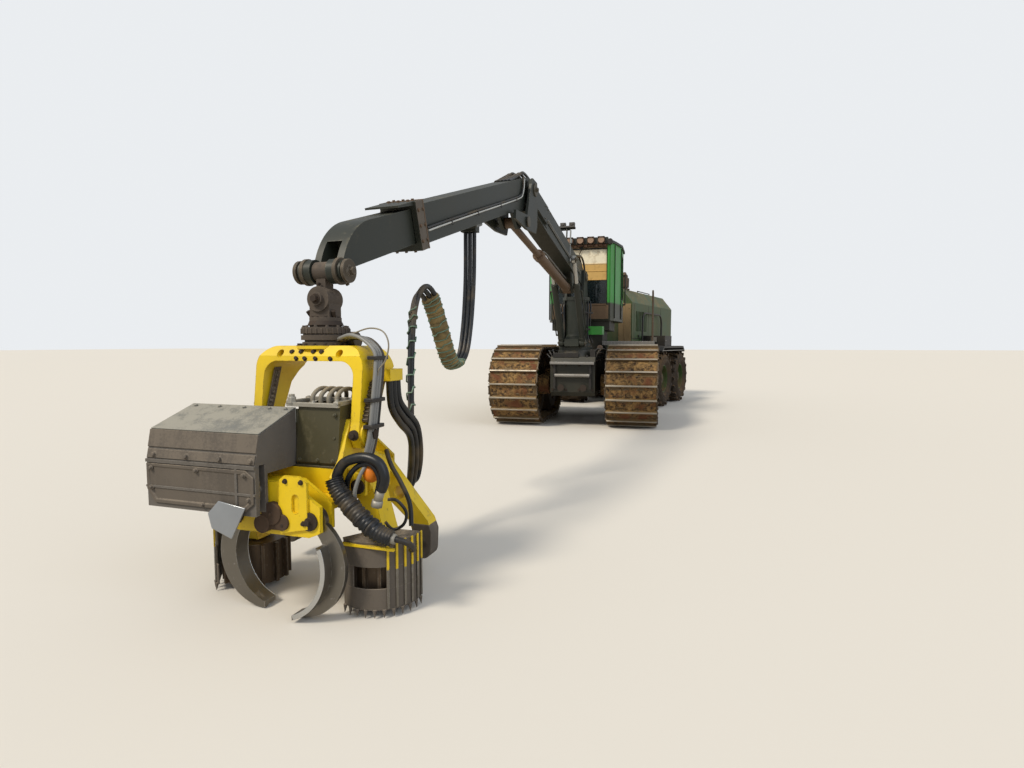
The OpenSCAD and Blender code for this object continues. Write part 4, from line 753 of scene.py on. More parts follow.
roller_x, roller_y, guard_radius = 0.135, 0.45, 0.232
guard_end, window = 100, (0.165, 0.285)
for side, word in ((1, "left"), (-1, "right")):
    middle = Vector((roller_x, roller_y * side, 0))
    front = -35 if side > 0 else 28
    sections = [(0.045, 0.165, front, guard_end), (0.285, 0.42, front, guard_end), (*window, 36, guard_end)]
    if side > 0:
        sections.append((*window, front, -12))
    for low, high, start, stop in sections:
        foot = middle + guard_radius * outward(radians(start) * side)
        a, b = (shape.verts.new(foot + Vector((0, 0, z))) for z in (low, high))
        bmesh.ops.spin(
            shape, geom=[a, b, shape.edges.new((a, b))], cent=middle, axis=(0, 0, 1),
            angle=radians(stop - start) * side, steps=max(2, round((stop - start) / 6)), use_duplicate=False)
    bmesh.ops.recalc_face_normals(shape, faces=shape.faces)
    bmesh.ops.solidify(shape, geom=shape.faces, thickness=0.008)
    for k in range(11 if side > 0 else 6):
        out = outward(radians(front + 5 + 12.5 * k) * side)
        at = middle + (guard_radius + 0.002) * out
        bar(at + Vector((0, 0, 0.05)), at + 0.005 * out + Vector((0, 0, 0.006)), 0.013, 5, 0.002)
    lid = middle + Vector((0, 0, 0.418))
    rim = [outward(radians(front + (guard_end - front) * k / 10) * side) for k in range(11)]
    plate([lid + (guard_radius + 0.003) * out for out in rim] + [lid + Vector((-0.03, 0, 0))], (0, 0, 0.008))
    piece("roller_guard_" + word, on_head, brown_front, "feed_arm_" + word, 0.002)
    for name, low, high, lift, material in (
            ("guard", 0.27, 0.432, 0.007, head_yellow), ("worn", 0.055, 0.272, 0.006, bright_steel)):
        for k in range(6):
            turn = radians(38 + 12 * k) * side
            at = middle + (guard_radius + lift) * outward(turn)
            block(at + Vector((-0.004, -0.007, low)), at + Vector((0.004, 0.007, high)),
                  Matrix.Rotation(turn, 4, "Z"))
        if side > 0 and name == "guard":
            block((0.355, 0.3, 0.395), (0.372, 0.66, 0.412))
        piece(name + "_strips_" + word, on_head, material, "feed_arm_" + word, 0.002)

# Knife edges and pins
# The near knives are cast blades whose ground cutting edge runs bright along its whole bend, partly bare
# steel and partly a painted highlight.
# The pins of all four knives end in bolted cap plates; the far beams' ends are worn bare.

# The edge's near-white is partly polished steel and partly a painted highlight.
polished_edge_and_highlight = weathered(
    "polished knife edge with painted highlight", "#dde0e2", dusty=0.03, worn=0.2, dust="#7d6c50", bare="#f4f5f6", metal=0.85,
    shine=0.24)
inner, outer, start, sweep = 0.2785, 0.3055, radians(-71), radians(94)
for side, word, x in ((1, "left", 0.5375), (-1, "right", 0.3505)):
    middle = Vector((x, 0.04 * side, 0.308))
    way = Vector((0, cos(start) * side, sin(start)))
    a, b = shape.verts.new(middle + inner * way), shape.verts.new(middle + outer * way)
    bmesh.ops.spin(
        shape, geom=[a, b, shape.edges.new((a, b))], cent=middle, axis=(1, 0, 0), angle=sweep * side,
        steps=28, use_duplicate=False)
    bmesh.ops.recalc_face_normals(shape, faces=shape.faces)
    bmesh.ops.solidify(shape, geom=shape.faces, thickness=0.004)
    piece("knife_edge_" + word, on_head, polished_edge_and_highlight, "knife_near_" + word, 0.001)

for side in (1, -1):
    cap((0.506, 0.24 * side, 0.56), (0.52, 0.24 * side, 0.56), 0.05, 0.036)
    cap((-0.392, 0.15 * side, 0.7), (-0.4, 0.15 * side, 0.7), 0.05, 0.036)
    cap((0.254, 0.375 * side, 0.7), (0.268, 0.375 * side, 0.7), 0.042, 0.032)
    for x in (-0.12, -0.03, 0.26, 0.34):
        bolt((x, 0.304 * side, 0.635), (0, side, 0), 0.024)
for y, z in ((0.1, 0.77), (0.2, 0.77), (0.21, 0.55), (0.08, 0.53)):
    bolt((0.522, y, z), (1, 0, 0), 0.022)
piece("head_bolts", on_head, dark_bolts, "head_frame", 0.0015)

for side, word in ((1, "left"), (-1, "right")):
    bar((-0.3635, 0.51 * side, 0.18), (-0.2485, 0.51 * side, 0.18), 0.063, 28)
    corners = [(0.447, 0.18), (0.573, 0.18), (0.578, 0.3), (0.56, 0.345), (0.44, 0.345), (0.437, 0.29)]
    plate([(-0.3635, y * side, z) for y, z in corners], (0.115, 0, 0))
    piece("far_tip_" + word, on_head, brown_front, "knife_far_" + word, 0.006)

# Tracks
# Steel track shoes over the front tyres: each has a tall grouser whose top is worn bright,
# dry clay is packed between them, and bolted link plates join them along both edges.

half_track, front_axle, rear_axle = 1.04, 0.745, 0.665
loop_radius, loop_base, shoe_count = 0.665, 1.5, 32
half_shoe, half_clay, link_x = 0.432, 0.416, 0.442
grouser_lift, link_lift = 0.075, 0.012
shoe_pitch = 2 * (pi * loop_radius + loop_base) / shoe_count


def on_loop(along, lift):
    """A place on the track's loop in y and z, and its outward angle."""
    half = pi * loop_radius
    u = along % (2 * (half + loop_base))
    radius = loop_radius + lift
    if u < loop_base:
        return -loop_base / 2 + u, radius, pi / 2
    if u < loop_base + half:
        turn = pi / 2 - (u - loop_base) / loop_radius
        return loop_base / 2 + radius * cos(turn), radius * sin(turn), turn
    if u < 2 * loop_base + half:
        return loop_base / 2 - (u - loop_base - half), -radius, -pi / 2
    turn = -pi / 2 - (u - 2 * loop_base - half) / loop_radius
    return -loop_base / 2 + radius * cos(turn), radius * sin(turn), turn


# Dry ochre clay: crumbly, sunlit tan, with painted shade in its dark hollows.
dry_clay, t = blank_material("dry ochre clay")
place = add(t, "TexCoord").outputs["Object"]
crumbs_and_shade = noise(t, place, 16.0, 9.0, 0.72)
# The crumb noise's dark spots are painted shade between the clay lumps.
tone = mixed(t, spread(t, crumbs_and_shade, 0.4, 0.6), "#2e2117", "#a17f4e")
tone = mixed(t, spread(t, noise(t, place, 4.0, 4.0), 0.5, 0.66), tone, "#6b4229")
lumps = add(t, "Bump", {"Height": crumbs_and_shade, "Strength": 0.9, "Distance": 0.02})
skin(t, tone, 0.95, {"Normal": lumps.outputs["Normal"]})
grouser_steel = weathered(
    "bright worn grouser", "#b9b2a4", dusty=0.3, worn=0.6, dust="#7d6038", bare="#e4e1da", metal=0.5,
    shine=0.35, edge=0.004, grit=14.0)
wear(dry_clay, "front_bogies")

random.seed(7)
for side, word in ((1, "left"), (-1, "right")):
    at_track = on_machine @ Matrix.Translation((half_track * side, 0, front_axle))
    for k in range(shoe_count):
        y, z, turn = on_loop((k + 0.5) * shoe_pitch, grouser_lift)
        block((-half_shoe, y - 0.014, z - 0.01), (half_shoe, y + 0.014, z + 0.007),
              Matrix.Rotation(turn - pi / 2, 4, "X"))
    piece("grouser_edges_" + word, at_track, grouser_steel, "front_frame", 0.004)
    bmesh.ops.create_grid(shape, x_segments=9 * shoe_count, y_segments=22, size=0.5)
    lump = [[random.random() for a in range(12)] for b in range(shoe_count * 3)]
    for v in shape.verts:
        s, w = (v.co.x + 0.5) * shoe_count * shoe_pitch, v.co.y * 2
        i, j = s / shoe_pitch * 3, (w + 1) * 5
        a, b = lump[int(i) % len(lump)], lump[(int(i) + 1) % len(lump)]
        u, q, j = i % 1, j % 1, int(j)
        thick = (a[j] * (1 - q) + a[j + 1] * q) * (1 - u) + (b[j] * (1 - q) + b[j + 1] * q) * u
        y, z, turn = on_loop(s, 0.018 + 0.034 * thick * thick + 0.005 * random.random())
        v.co = Vector((half_clay * w, y, z))
    bmesh.ops.remove_doubles(shape, verts=shape.verts, dist=0.0005)
    piece("track_clay_" + word, at_track, dry_clay, "front_frame", 0, 80)
    for edge in (1, -1):
        for k in range(shoe_count):
            y, z, turn = on_loop(k * shoe_pitch, link_lift)
            block((edge * link_x - 0.007, y - 0.08, z - 0.026), (edge * link_x + 0.007, y + 0.08, z + 0.024),
                  Matrix.Rotation(turn - pi / 2, 4, "X"))
            for step in (-0.27, 0.27):
                y, z, turn = on_loop((k + step) * shoe_pitch, link_lift)
                bar((edge * 0.446, y, z), (edge * 0.459, y, z), 0.017, 10)
    piece("track_links_" + word, at_track, worn_steel, "front_frame", 0)

# Wheels
# Each rim carries a planetary hub with a bolted cap, a ring of wheel nuts and a valve;
# the tyre's bead ring and two sidewall ridges stand out from the rubber.

hub_dust = weathered("dusty hub casting", "#3c3a33", dusty=0.8, worn=0.4, dust="#7a6342", shine=0.75)
wheel_nuts = 12


def hub(name, at, body, out):
    """The outer face of one wheel, at the wheel's middle; out is the way it looks along x."""
    for start, end, radius, rim in (
            (0.03, 0.1, 0.235, 0.215), (0.1, 0.235, 0.175, 0.165), (0.235, 0.262, 0.12, 0.1),
            (0.262, 0.275, 0.045, 0.045)):
        bar((start * out, 0, 0), (end * out, 0, 0), radius, 32, rim)
    for k in range(wheel_nuts):
        turn = 2 * pi * k / wheel_nuts
        for x, reach, width in ((0.032, 0.272, 0.034), (0.235, 0.142, 0.018)):
            bolt((x * out, reach * cos(turn), reach * sin(turn)), (out, 0, 0), width)
    bar((0.05 * out, 0.2, 0.2), (0.13 * out, 0.215, 0.215), 0.006, 8)
    piece("hub_" + name, at, hub_dust, body, 0.003)
    for x, inner, wide, high in (
            (0.297, 0.322, 0.03, 0.014), (0.352, 0.42, 0.022, 0.008), (0.352, 0.5, 0.018, 0.008)):
        ring = [shape.verts.new(((x + up) * out, 0, inner + share * wide))
                for up, share in ((0, 0), (high, 0.2), (high, 0.8), (0, 1))]
        edges = [shape.edges.new(pair) for pair in zip(ring, ring[1:])]
        bmesh.ops.spin(shape, geom=ring + edges, cent=(0, 0, 0), axis=(1, 0, 0), angle=2 * pi, steps=48,
                       use_merge=True, use_duplicate=False)
    piece("sidewall_" + name, at, tyre_rubber, body, 0)


waist_y, waist_turn, rear_middle = 2.05, radians(-16), 2.0
on_rear = on_machine @ Matrix.Translation((0, waist_y, 0)) @ Matrix.Rotation(waist_turn, 4, "Z")
for out, word in ((1, "l"), (-1, "r")):
    x = half_track * out
    for row, y in ((1, -loop_base / 2), (2, loop_base / 2)):
        hub("f%s%d" % (word, row), on_machine @ Matrix.Translation((x, y, front_axle)), "front_frame", out)
        hub("r%s%d" % (word, row), on_rear @ Matrix.Translation((x, rear_middle + y, rear_axle)),
            "wheel_r%s%d" % (word, row), out)

# Cab front
# The windscreen of polycarbonate sits in a black rubber seal with a cream roller blind
# drawn over its upper part. Below it is a dusty steel sill; lamps stand on the brow.

# Cream blind cloth, sunlit, with brown dust at its seams.
blind_cloth, t = blank_material("cream blind cloth")
place = add(t, "TexCoord").outputs["Object"]
height = add(t, "SeparateXYZ", {"Vector": place}).outputs["Z"]
tone = mixed(t, spread(t, height, 3.06, 3.02), "#f0e7cd", "#cfa964")
stains = spread(t, noise(t, place, 12.0, 6.0), 0.52, 0.75, 0, 0.55)
skin(t, mixed(t, stains, tone, "#8f7140"), 0.8)
brown_panel = weathered("dusty brown panel", "#6a5540", dusty=0.7, worn=0.3, dust="#94795a", shine=0.7)
seal_rubber = weathered("black seal rubber", "#101112", dusty=0.25, worn=0.0, dust="#5d5344", shine=0.7)
lamp_brown = weathered("dusty reddish lamp body", "#4b2f22", dusty=0.7, worn=0.3, dust="#8a6a4e", shine=0.7)
lamp_lens = weathered("dusty lamp lens", "#a98e78", dusty=0.75, worn=0.0, dust="#8c6a50", shine=0.2)
wear(lamp_brown, "cab_lamps")

block((-0.5, -0.1385, 2.725), (0.5, -0.1335, 3.316))
for z in (3.04, 2.9, 2.735):
    bar((-0.5, -0.14, z), (0.5, -0.14, z), 0.007, 10)
piece("windscreen_blind", on_machine, blind_cloth, "front_frame", 0.001)

block((-0.54, -0.183, 1.98), (0.54, -0.176, 2.245))
block((-0.5, -0.196, 2.248), (0.5, -0.15, 2.272))
block((-0.56, -0.158, 3.338), (0.56, -0.149, 3.428))
for x in (-0.5, -0.17, 0.17, 0.5):
    for z in (2.0, 2.22):
        bolt((x, -0.183, z), (0, -1, 0), 0.02)
piece("cab_sill", on_machine, brown_panel, "front_frame", 0.002)

for low, high in (
        ((-0.52, -0.16, 2.262), (0.52, -0.136, 2.288)), ((-0.52, -0.16, 3.312), (0.52, -0.136, 3.336)),
        ((-0.52, -0.16, 2.27), (-0.498, -0.136, 3.33)), ((0.498, -0.16, 2.27), (0.52, -0.136, 3.33))):
    block(low, high)
bar((0.02, -0.165, 3.33), (-0.28, -0.155, 2.62), 0.009, 8)
bar((-0.33, -0.15, 2.42), (-0.24, -0.15, 2.86), 0.007, 8)
bar((0.02, -0.13, 3.345), (0.02, -0.19, 3.345), 0.03)
for x, y in ((0.642, 0.055), (-0.642, 0.055), (0.737, 0.552), (-0.737, 0.552)):
    bar((x, y, 2.0), (x, y, 3.41), 0.01, 8)
for low, high in (
        ((-0.736, 0.6, 2.36), (-0.729, 1.24, 2.384)), ((-0.736, 0.6, 3.306), (-0.729, 1.24, 3.33)),
        ((-0.736, 0.6, 2.37), (-0.729, 0.624, 3.32)), ((-0.736, 1.216, 2.37), (-0.729, 1.24, 3.32))):
    block(low, high)
piece("window_seals", on_machine, seal_rubber, "front_frame", 0.002)

for k in range(5):
    x = -0.4 + 0.2 * k
    bar((x, -0.2753, 3.47), (x, -0.279, 3.47), 0.056, 24)
piece("lamp_lenses", on_machine, lamp_lens, "front_frame", 0.001)
for k in range(5):
    x = -0.4 + 0.2 * k
    for turn in (-1, 1):
        block((x + 0.062 * turn - 0.004, -0.262, 3.405), (x + 0.062 * turn + 0.004, -0.225, 3.53))
    block((x - 0.066, -0.3, 3.527), (x + 0.066, -0.225, 3.533))
    bar((x, -0.215, 3.385), (x, -0.215, 3.42), 0.012, 8)
    block((x - 0.05, -0.232, 3.37), (x + 0.05, -0.18, 3.388))
for x in (-0.5, -0.3, -0.1, 0.1, 0.3, 0.47):
    block((x - 0.03, -0.222, 3.352), (x + 0.025, -0.18, 3.372 + 0.02 * (x > 0)))
piece("lamp_guards", on_machine, lamp_brown, "front_frame", 0.002)
bar((0.56, -0.13, 3.445), (0.56, -0.21, 3.445), 0.058)
bar((0.56, -0.21, 3.445), (0.56, -0.225, 3.445), 0.052)
block((0.53, -0.14, 3.4), (0.59, -0.05, 3.47))
bar((-0.45, 0.9, 3.5), (-0.45, 0.9, 3.56), 0.055)
for x in (-0.5, 0.5):
    bar((x, 0.15, 3.54), (x, 1.1, 3.54), 0.014, 10)
    for y in (0.15, 0.62, 1.1):
        bar((x, y, 3.5), (x, y, 3.542), 0.012, 10)
piece("roof_fittings", on_machine, black_paint, "front_frame", 0.003)

# Cab door and sides
# The sheet steel door has a black rubber seal round its pane, a latch with its handle and
# a lower sheet. Two pairs of hinge knuckles carry it, and a grab rail stands beside it.

for low, high in (
        ((0.727, 0.628, 2.418), (0.738, 1.202, 2.44)), ((0.727, 0.628, 3.282), (0.738, 1.202, 3.304)),
        ((0.727, 0.628, 2.42), (0.738, 0.65, 3.3)), ((0.727, 1.18, 2.42), (0.738, 1.202, 3.3))):
    block(low, high)
block((0.729, 1.14, 2.28), (0.738, 1.23, 2.37))
bar((0.738, 1.165, 2.325), (0.765, 1.165, 2.325), 0.01, 10)
block((0.758, 1.09, 2.315), (0.77, 1.18, 2.335))
piece("door_seal", on_machine, seal_rubber, "cab_door", 0.003)
plate([(0.73, 0.65, 2.08), (0.73, 1.18, 2.08), (0.73, 1.18, 2.24), (0.73, 0.65, 2.24)], (0.005, 0, 0))
piece("door_panel", on_machine, cab_sides, "cab_door", 0.003)

for z in (2.16, 2.31, 3.06, 3.21):
    bar((0.738, 0.556, z), (0.738, 0.556, z + 0.07), 0.014)
for z in (2.35, 2.95):
    bar((0.735, 1.31, z), (0.775, 1.31, z), 0.01, 10)
bar((0.775, 1.31, 2.33), (0.775, 1.31, 2.97), 0.013, 10)
piece("door_hinges", on_machine, black_paint, "front_frame", 0.002)

# Cab seat
# A high-backed seat: worn grey cloth over foam cushions, on a steel pan and box. Its two
# arm rests carry short levers, and a plain crossbar stands on a post in front of it.

seat_cloth = weathered(
    "grey seat cloth", "#2c2e31", dusty=0.35, worn=0.0, dust="#6d6558", shine=0.85, grit=120.0)
block((-0.26, 0.33, 2.34), (0.26, 0.83, 2.45))
block((-0.25, 0.8, 2.47), (0.25, 0.91, 2.95), Matrix.Rotation(radians(-9), 4, "X"))
block((-0.14, 0.875, 2.97), (0.14, 0.955, 3.14), Matrix.Rotation(radians(-9), 4, "X"))
bmesh.ops.subdivide_edges(shape, edges=shape.edges, cuts=6, use_grid_fill=True)
for _ in range(3):
    bmesh.ops.smooth_vert(
        shape, verts=shape.verts, factor=0.5, use_axis_x=True, use_axis_y=True, use_axis_z=True)
seat = piece("seat_cushions", on_machine, seat_cloth, "front_frame", 0, 80)
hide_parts("cab_seat")
block((-0.13, 0.42, 2.001), (0.13, 0.7, 2.3))
block((-0.2, 0.36, 2.3), (0.2, 0.78, 2.345))
for side in (1, -1):
    block((0.31 * side - 0.04, 0.45, 2.56), (0.31 * side + 0.04, 0.82, 2.6))
    bar((0.31 * side, 0.52, 2.6), (0.31 * side, 0.5, 2.7), 0.018)
    block((0.27 * side - 0.02, 0.7, 2.36), (0.27 * side + 0.02, 0.78, 2.58))
bar((0, 0.25, 2.0), (0, 0.12, 2.62), 0.03)
bar((-0.16, 0.1, 2.64), (0.16, 0.1, 2.64), 0.016)
piece("seat_base", on_machine, black_paint, "front_frame", 0.004)

# Front frame and steps
# Plate steel nose with tow pins, a bright worn guard edge, a round lamp, an open step
# grating with kick plates, a welded ladder, and hydraulic hoses under the cab.

nose_bright = weathered(
    "bright worn nose edge", "#9c9a96", dusty=0.3, worn=0.6, dust="#6b5a42", bare="#dedfe0", metal=0.6)
block((-0.392, -1.293, 1.172), (0.392, -1.27, 1.184))
block((-0.392, -1.2945, 1.14), (0.392, -1.2895, 1.176))
bar((-0.31, -1.2405, 0.94), (0.31, -1.2405, 0.94), 0.0325, 20)
piece("nose_edges", on_machine, nose_bright, "front_frame", 0.002)

for x in (-0.36, -0.12, 0.12, 0.36):
    for z in (0.68, 1.12):
        bolt((x, -1.181, z), (0, -1, 0), 0.036)
for side in (1, -1):
    bar((0.2 * side, -1.175, 0.72), (0.2 * side, -1.245, 0.72), 0.045)
    bar((0.2 * side, -1.245, 0.72), (0.2 * side, -1.258, 0.72), 0.06)
    for y in (-1.0, -0.5, 0.0, 0.5, 1.0):
        for z in (1.2, 0.62):
            bolt((0.4 * side, y, z), (side, 0, 0), 0.032)
bolt_ring(16, 0.285, 0, slew_spot.y, 1.446, 0.034)
piece("frame_bolts", on_machine, dark_bolts, "front_frame", 0)

block((0.3, -1.1, 1.18), (0.39, -0.95, 1.4))
bar((0.402, -0.33, 1.423), (0.402, -0.25, 1.423), 0.06, 24, 0.045)
block((0.38, -0.26, 1.265), (0.424, -0.22, 1.43))
for x in (-0.33, -0.22, 0.25):
    bar((x, -1.11, 1.12), (x, -1.11, 1.3), 0.02, 8)
block((-0.36, -1.14, 1.26), (0.1, -1.06, 1.34))
piece("nose_fittings", on_machine, black_paint, "front_frame", 0.004)
bar((0.402, -0.338, 1.423), (0.402, -0.33, 1.423), 0.056, 24)
piece("nose_lens", on_machine, lamp_lens, "front_frame", 0.002)

block((0.43, -0.158, 1.478), (1.405, -0.15, 1.552))
block((1.4, -0.15, 1.478), (1.408, 1.25, 1.552))
for k in range(30):
    x = 0.45 + 0.032 * k
    block((x - 0.003, -0.15, 1.54), (x + 0.003, 1.245, 1.556))
for k in range(10):
    y = -0.1 + 0.14 * k
    block((0.43, y - 0.003, 1.54), (1.4, y + 0.003, 1.552))
for k in range(14):
    x = 0.47 + 0.066 * k
    block((x - 0.006, -0.164, 1.484), (x + 0.006, -0.157, 1.546))
piece("step_grating", on_machine, nose_bright, "front_frame", 0)

for z in (0.78, 1.05, 1.3):
    block((1.05, 1.24, z), (1.38, 1.42, z + 0.025))
for x in (1.05, 1.38):
    bar((x, 1.33, 0.76), (x, 1.33, 1.5), 0.016, 10)
piece("access_ladder", on_machine, worn_steel, "front_frame", 0.003)

random.seed(11)
for k in range(9):
    side = 1 if k % 2 else -1
    x, z = (0.34 + 0.018 * k) * side, 1.29 + 0.032 * (k % 4)
    points = ((0.8 * x, -1.06, 1.22), (x, -1.0, z + 0.01), (x * 1.12, -0.72, z + 0.03 * random.random()),
              (x * 1.05, -0.4, z + 0.01), (x, -0.15, z), (x, 0.02, z))
    pipe("frame_hose_%d" % (k + 1), on_machine, points, 0.03, hose_rubber, "front_frame")

# Crane hoses and pipes
# Steel pipes are clipped to the boom and the jib, and rubber hoses bridge the hinges: from
# the column to the boom, and over the elbow.

on_boom = on_crane @ Matrix.Translation((0, 0, boom_foot)) @ Matrix.Rotation(-boom_angle, 4, "Y")
pipe_steel = weathered(
    "zinc-plated pipe", "#8e908e", dusty=0.35, worn=0.2, dust="#6f6a58", metal=0.7, shine=0.3)
# The bright pipe is zinc-plated steel lightened to near white as painted sunlight.
zinc_pipe_and_painted_sun = weathered(
    "pipe near white with painted sunlight", "#d9dad4", dusty=0.12, worn=0.1, dust="#8d8a78", metal=0.2, shine=0.25)

for k in range(5):
    y = -0.085 + 0.042 * k
    rise = 0.02 * sin(2.1 * k)
    points = [on_boom @ Vector(p) for p in ((3.26, y, 0.19), (3.38, y, 0.19), (3.5, y, 0.196 + rise / 2))]
    points += [on_jib @ Vector(p) for p in ((0.03, y, 0.204 + rise / 2), (0.2, y, 0.196 + rise / 2),
                                            (0.36, y, 0.182), (0.5, y, 0.168), (0.62, y, 0.16))]
    made = hose_mesh("elbow_hose_%d" % (k + 1), Matrix(), points, 0.034, hose_rubber)
    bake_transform(made)

for k in range(4):
    y = -0.075 + 0.05 * k
    points = ((0.62, y, 0.205), (0.95, y, 0.2), (1.16, y, 0.215), (1.3, y, 0.215), (1.8, y, 0.2),
              (2.5, y, 0.2), (3.18, y, 0.205), (3.34, y, 0.205))
    pipe("boom_hose_%d" % (k + 1), on_boom, points, 0.036, hose_rubber, "main_boom", steps=4)
    points = [(-0.25, 1.3 * y + 0.02, 1.98), (-0.31, 1.3 * y, 2.25), (-0.36, 1.2 * y, 2.6),
              (-0.33, 1.1 * y, 2.93), (-0.12, y, 3.09), (0.2, y, 3.08), (0.58, y, 3.035)]
    made = hose_mesh("hinge_hose_%d" % (k + 1), on_crane, points, 0.036, hose_rubber)
    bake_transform(made)

for k, turn in enumerate((35, 62, 88, -40, -66, -92)):
    across = outward(radians(turn))
    reach = 0.262 + 0.012 * (k % 2)
    marks = ((reach + 0.05, 0, 1.52), (reach, 0, 1.66), (reach, 0.01, 1.95), (reach + 0.01, 0, 2.18),
             (0.248, -0.06, 2.27))
    points = [far * across + Vector((ahead, 0, z)) for far, ahead, z in marks]
    pipe("column_hose_%d" % (k + 1), on_crane, points, 0.032, hose_rubber, "column")
for z in (1.75, 2.05):
    for turn in (62, -66):
        a = radians(turn)
        out = outward(a)
        block(0.268 * out + Vector((-0.024, -0.135, z)), 0.268 * out + Vector((0.024, 0.135, z + 0.03)),
              Matrix.Rotation(a, 4, "Z"))
piece("column_clamps", on_crane, black_paint, "column", 0.003)

bright_pipe = [
    (0.215, 0.15), (0.262, 0.06), (0.335, -0.012), (0.435, -0.045), (0.9, -0.052), (1.8, -0.05),
    (2.7, -0.052), (3.02, -0.055)]
for side, word in ((1, "left"), (-1, "right")):
    for k, width, material in ((0, 0.017, zinc_pipe_and_painted_sun), (1, 0.02, hose_rubber)):
        points = [(s + 0.02 * k, 0.145 * side, h + 0.024 * k) for s, h in bright_pipe]
        pipe("jib_pipe_%s_%d" % (word, k + 1), on_jib, points, width, material, "jib", 2)
for k in range(2):
    z = -0.03 * k
    points = ((0.35, 0.14, -0.02 + z), (1.6, 0.14, -0.02 + z), (2.7, 0.14, -0.01 + z))
    pipe("boom_pipe_%d" % (k + 1), on_boom, points, 0.018, pipe_steel, "main_boom", 2)

for s in (0.62, 1.2, 1.9, 2.55):
    for side in (1, -1):
        block((s - 0.012, 0.14 * side - 0.016, -0.066), (s + 0.012, 0.14 * side + 0.014, -0.016))
        bolt((s, 0.154 * side, -0.07), (0, side, 0), 0.012)
piece("pipe_clips", on_jib, black_paint, "jib", 0.002)

# Crane pins and brackets
# Greased pins with bolted keeper plates, weld beads along the box seams, the hose bracket
# with its bright rod and lamps, the worn collar and the scuffed jib nose.

crane_pins = weathered(
    "greasy pin caps", "#55524a", dusty=0.5, worn=0.7, dust="#6f6448", bare="#a8a59c", metal=0.4)
for side in (1, -1):
    bar((0, 0.176 * side, boom_foot), (0, 0.2 * side, boom_foot), 0.075, 24)
    for k in range(4):
        a = pi / 4 + pi / 2 * k
        bolt((0.05 * cos(a), 0.2 * side, boom_foot + 0.05 * sin(a)), (0, side, 0), 0.018)
    cap((0.33, 0.232 * side, 1.52), (0.33, 0.246 * side, 1.52), 0.062, 0.036, 24)
    for z in (1.6, 1.95, 2.2):
        block((-0.12, 0.196 * side - 0.004, z), (0.14, 0.196 * side + 0.01, z + 0.012))
bolt_ring(16, 0.275, 0, 0, 1.452, 0.03)
piece("column_pins", on_crane, crane_pins, "column", 0.002)

for side in (1, -1):
    cap((0.7, 0.106 * side, -0.42), (0.7, 0.122 * side, -0.42), 0.06, 0.034, 24)
    bar((1.15, 0.13 * side, -0.06), (1.15, 0.228 * side, -0.06), 0.038, 20)
    cap((1.15, 0.224 * side, -0.06), (1.15, 0.236 * side, -0.06), 0.052, 0.034, 24)
    for x in (2.7, 2.82, 2.94):
        for z in (-0.085, 0.085):
            bolt((x, 0.17 * side, z), (0, side, 0), 0.022)
piece("boom_pins", on_boom, crane_pins, "main_boom", 0.002)

for side in (1, -1):
    for z in (0.168, -0.165):
        block((0.35, 0.128 * side - 0.004, z - 0.004), (2.6, 0.128 * side + 0.003, z + 0.004))
    block((2.7, 0.131 * side - 0.004, -0.13), (2.8, 0.131 * side + 0.006, 0.13))
    block((0.42, 0.131 * side - 0.005, -0.15), (0.72, 0.131 * side, 0.02))
piece("boom_seams", on_boom, crane_green_darkened_as_shade, "main_boom", 0.002)

bar((1.21, 0.13, 0.42), (1.21, 0.13, -0.1), 0.012, 12)
bar((1.21, 0.14, 0.2), (1.21, 0.14, 0.27), 0.022, 12)
bar((1.21, 0.14, -0.11), (1.21, 0.14, -0.06), 0.02, 12)
piece("bracket_rod", on_boom, pipe_steel, "main_boom", 0.001)
block((1.16, -0.2, 0.455), (1.26, 0.2, 0.485))
for y in (-0.15, 0.0, 0.15):
    block((1.19, y - 0.045, 0.485), (1.25, y + 0.045, 0.545))
    bar((1.25, y, 0.515), (1.262, y, 0.515), 0.026, 16)
for y in (-0.08, -0.03, 0.03, 0.08):
    bar((1.15, y, 0.215), (1.27, y, 0.215), 0.024, 12)
piece("bracket_lamps", on_boom, black_paint, "main_boom", 0.003)

for side in (1, -1):
    for z in (-0.115, 0.0, 0.115):
        for s in (3.085, 3.165):
            bolt((s, 0.15 * side, z), (0, side, 0), 0.026)
    bolt((0.0, 0.176 * side, 0.0), (0, side, 0), 0.06)
for y in (-0.08, 0.0, 0.08):
    for s in (3.085, 3.165):
        bolt((s, y, 0.18), (0, 0, 1), 0.026)
        bolt((s, y, -0.18), (0, 0, -1), 0.026)
block((3.056, -0.156, -0.186), (3.072, 0.156, 0.186))
piece("collar_bolts", on_jib, dusty_brown, "jib", 0.002)
block((3.072, -0.1535, -0.1835), (3.186, -0.1495, 0.1835))
block((3.072, 0.1495, -0.1835), (3.186, 0.1535, 0.1835))
block((3.072, -0.1535, -0.184), (3.186, 0.1535, -0.18))
piece("collar_skin", on_jib, brown_front, "jib", 0.002)

for side in (1, -1):
    block((1.69, 0.09 * side - 0.01, -0.19), (1.85, 0.09 * side + 0.01, -0.15))
for y in (-0.046, 0.0, 0.046):
    bar((1.772, y, -0.25), (1.772, y, -0.205), 0.029, 6)
piece("hose_fittings", on_jib, pipe_steel, "jib", 0.002)

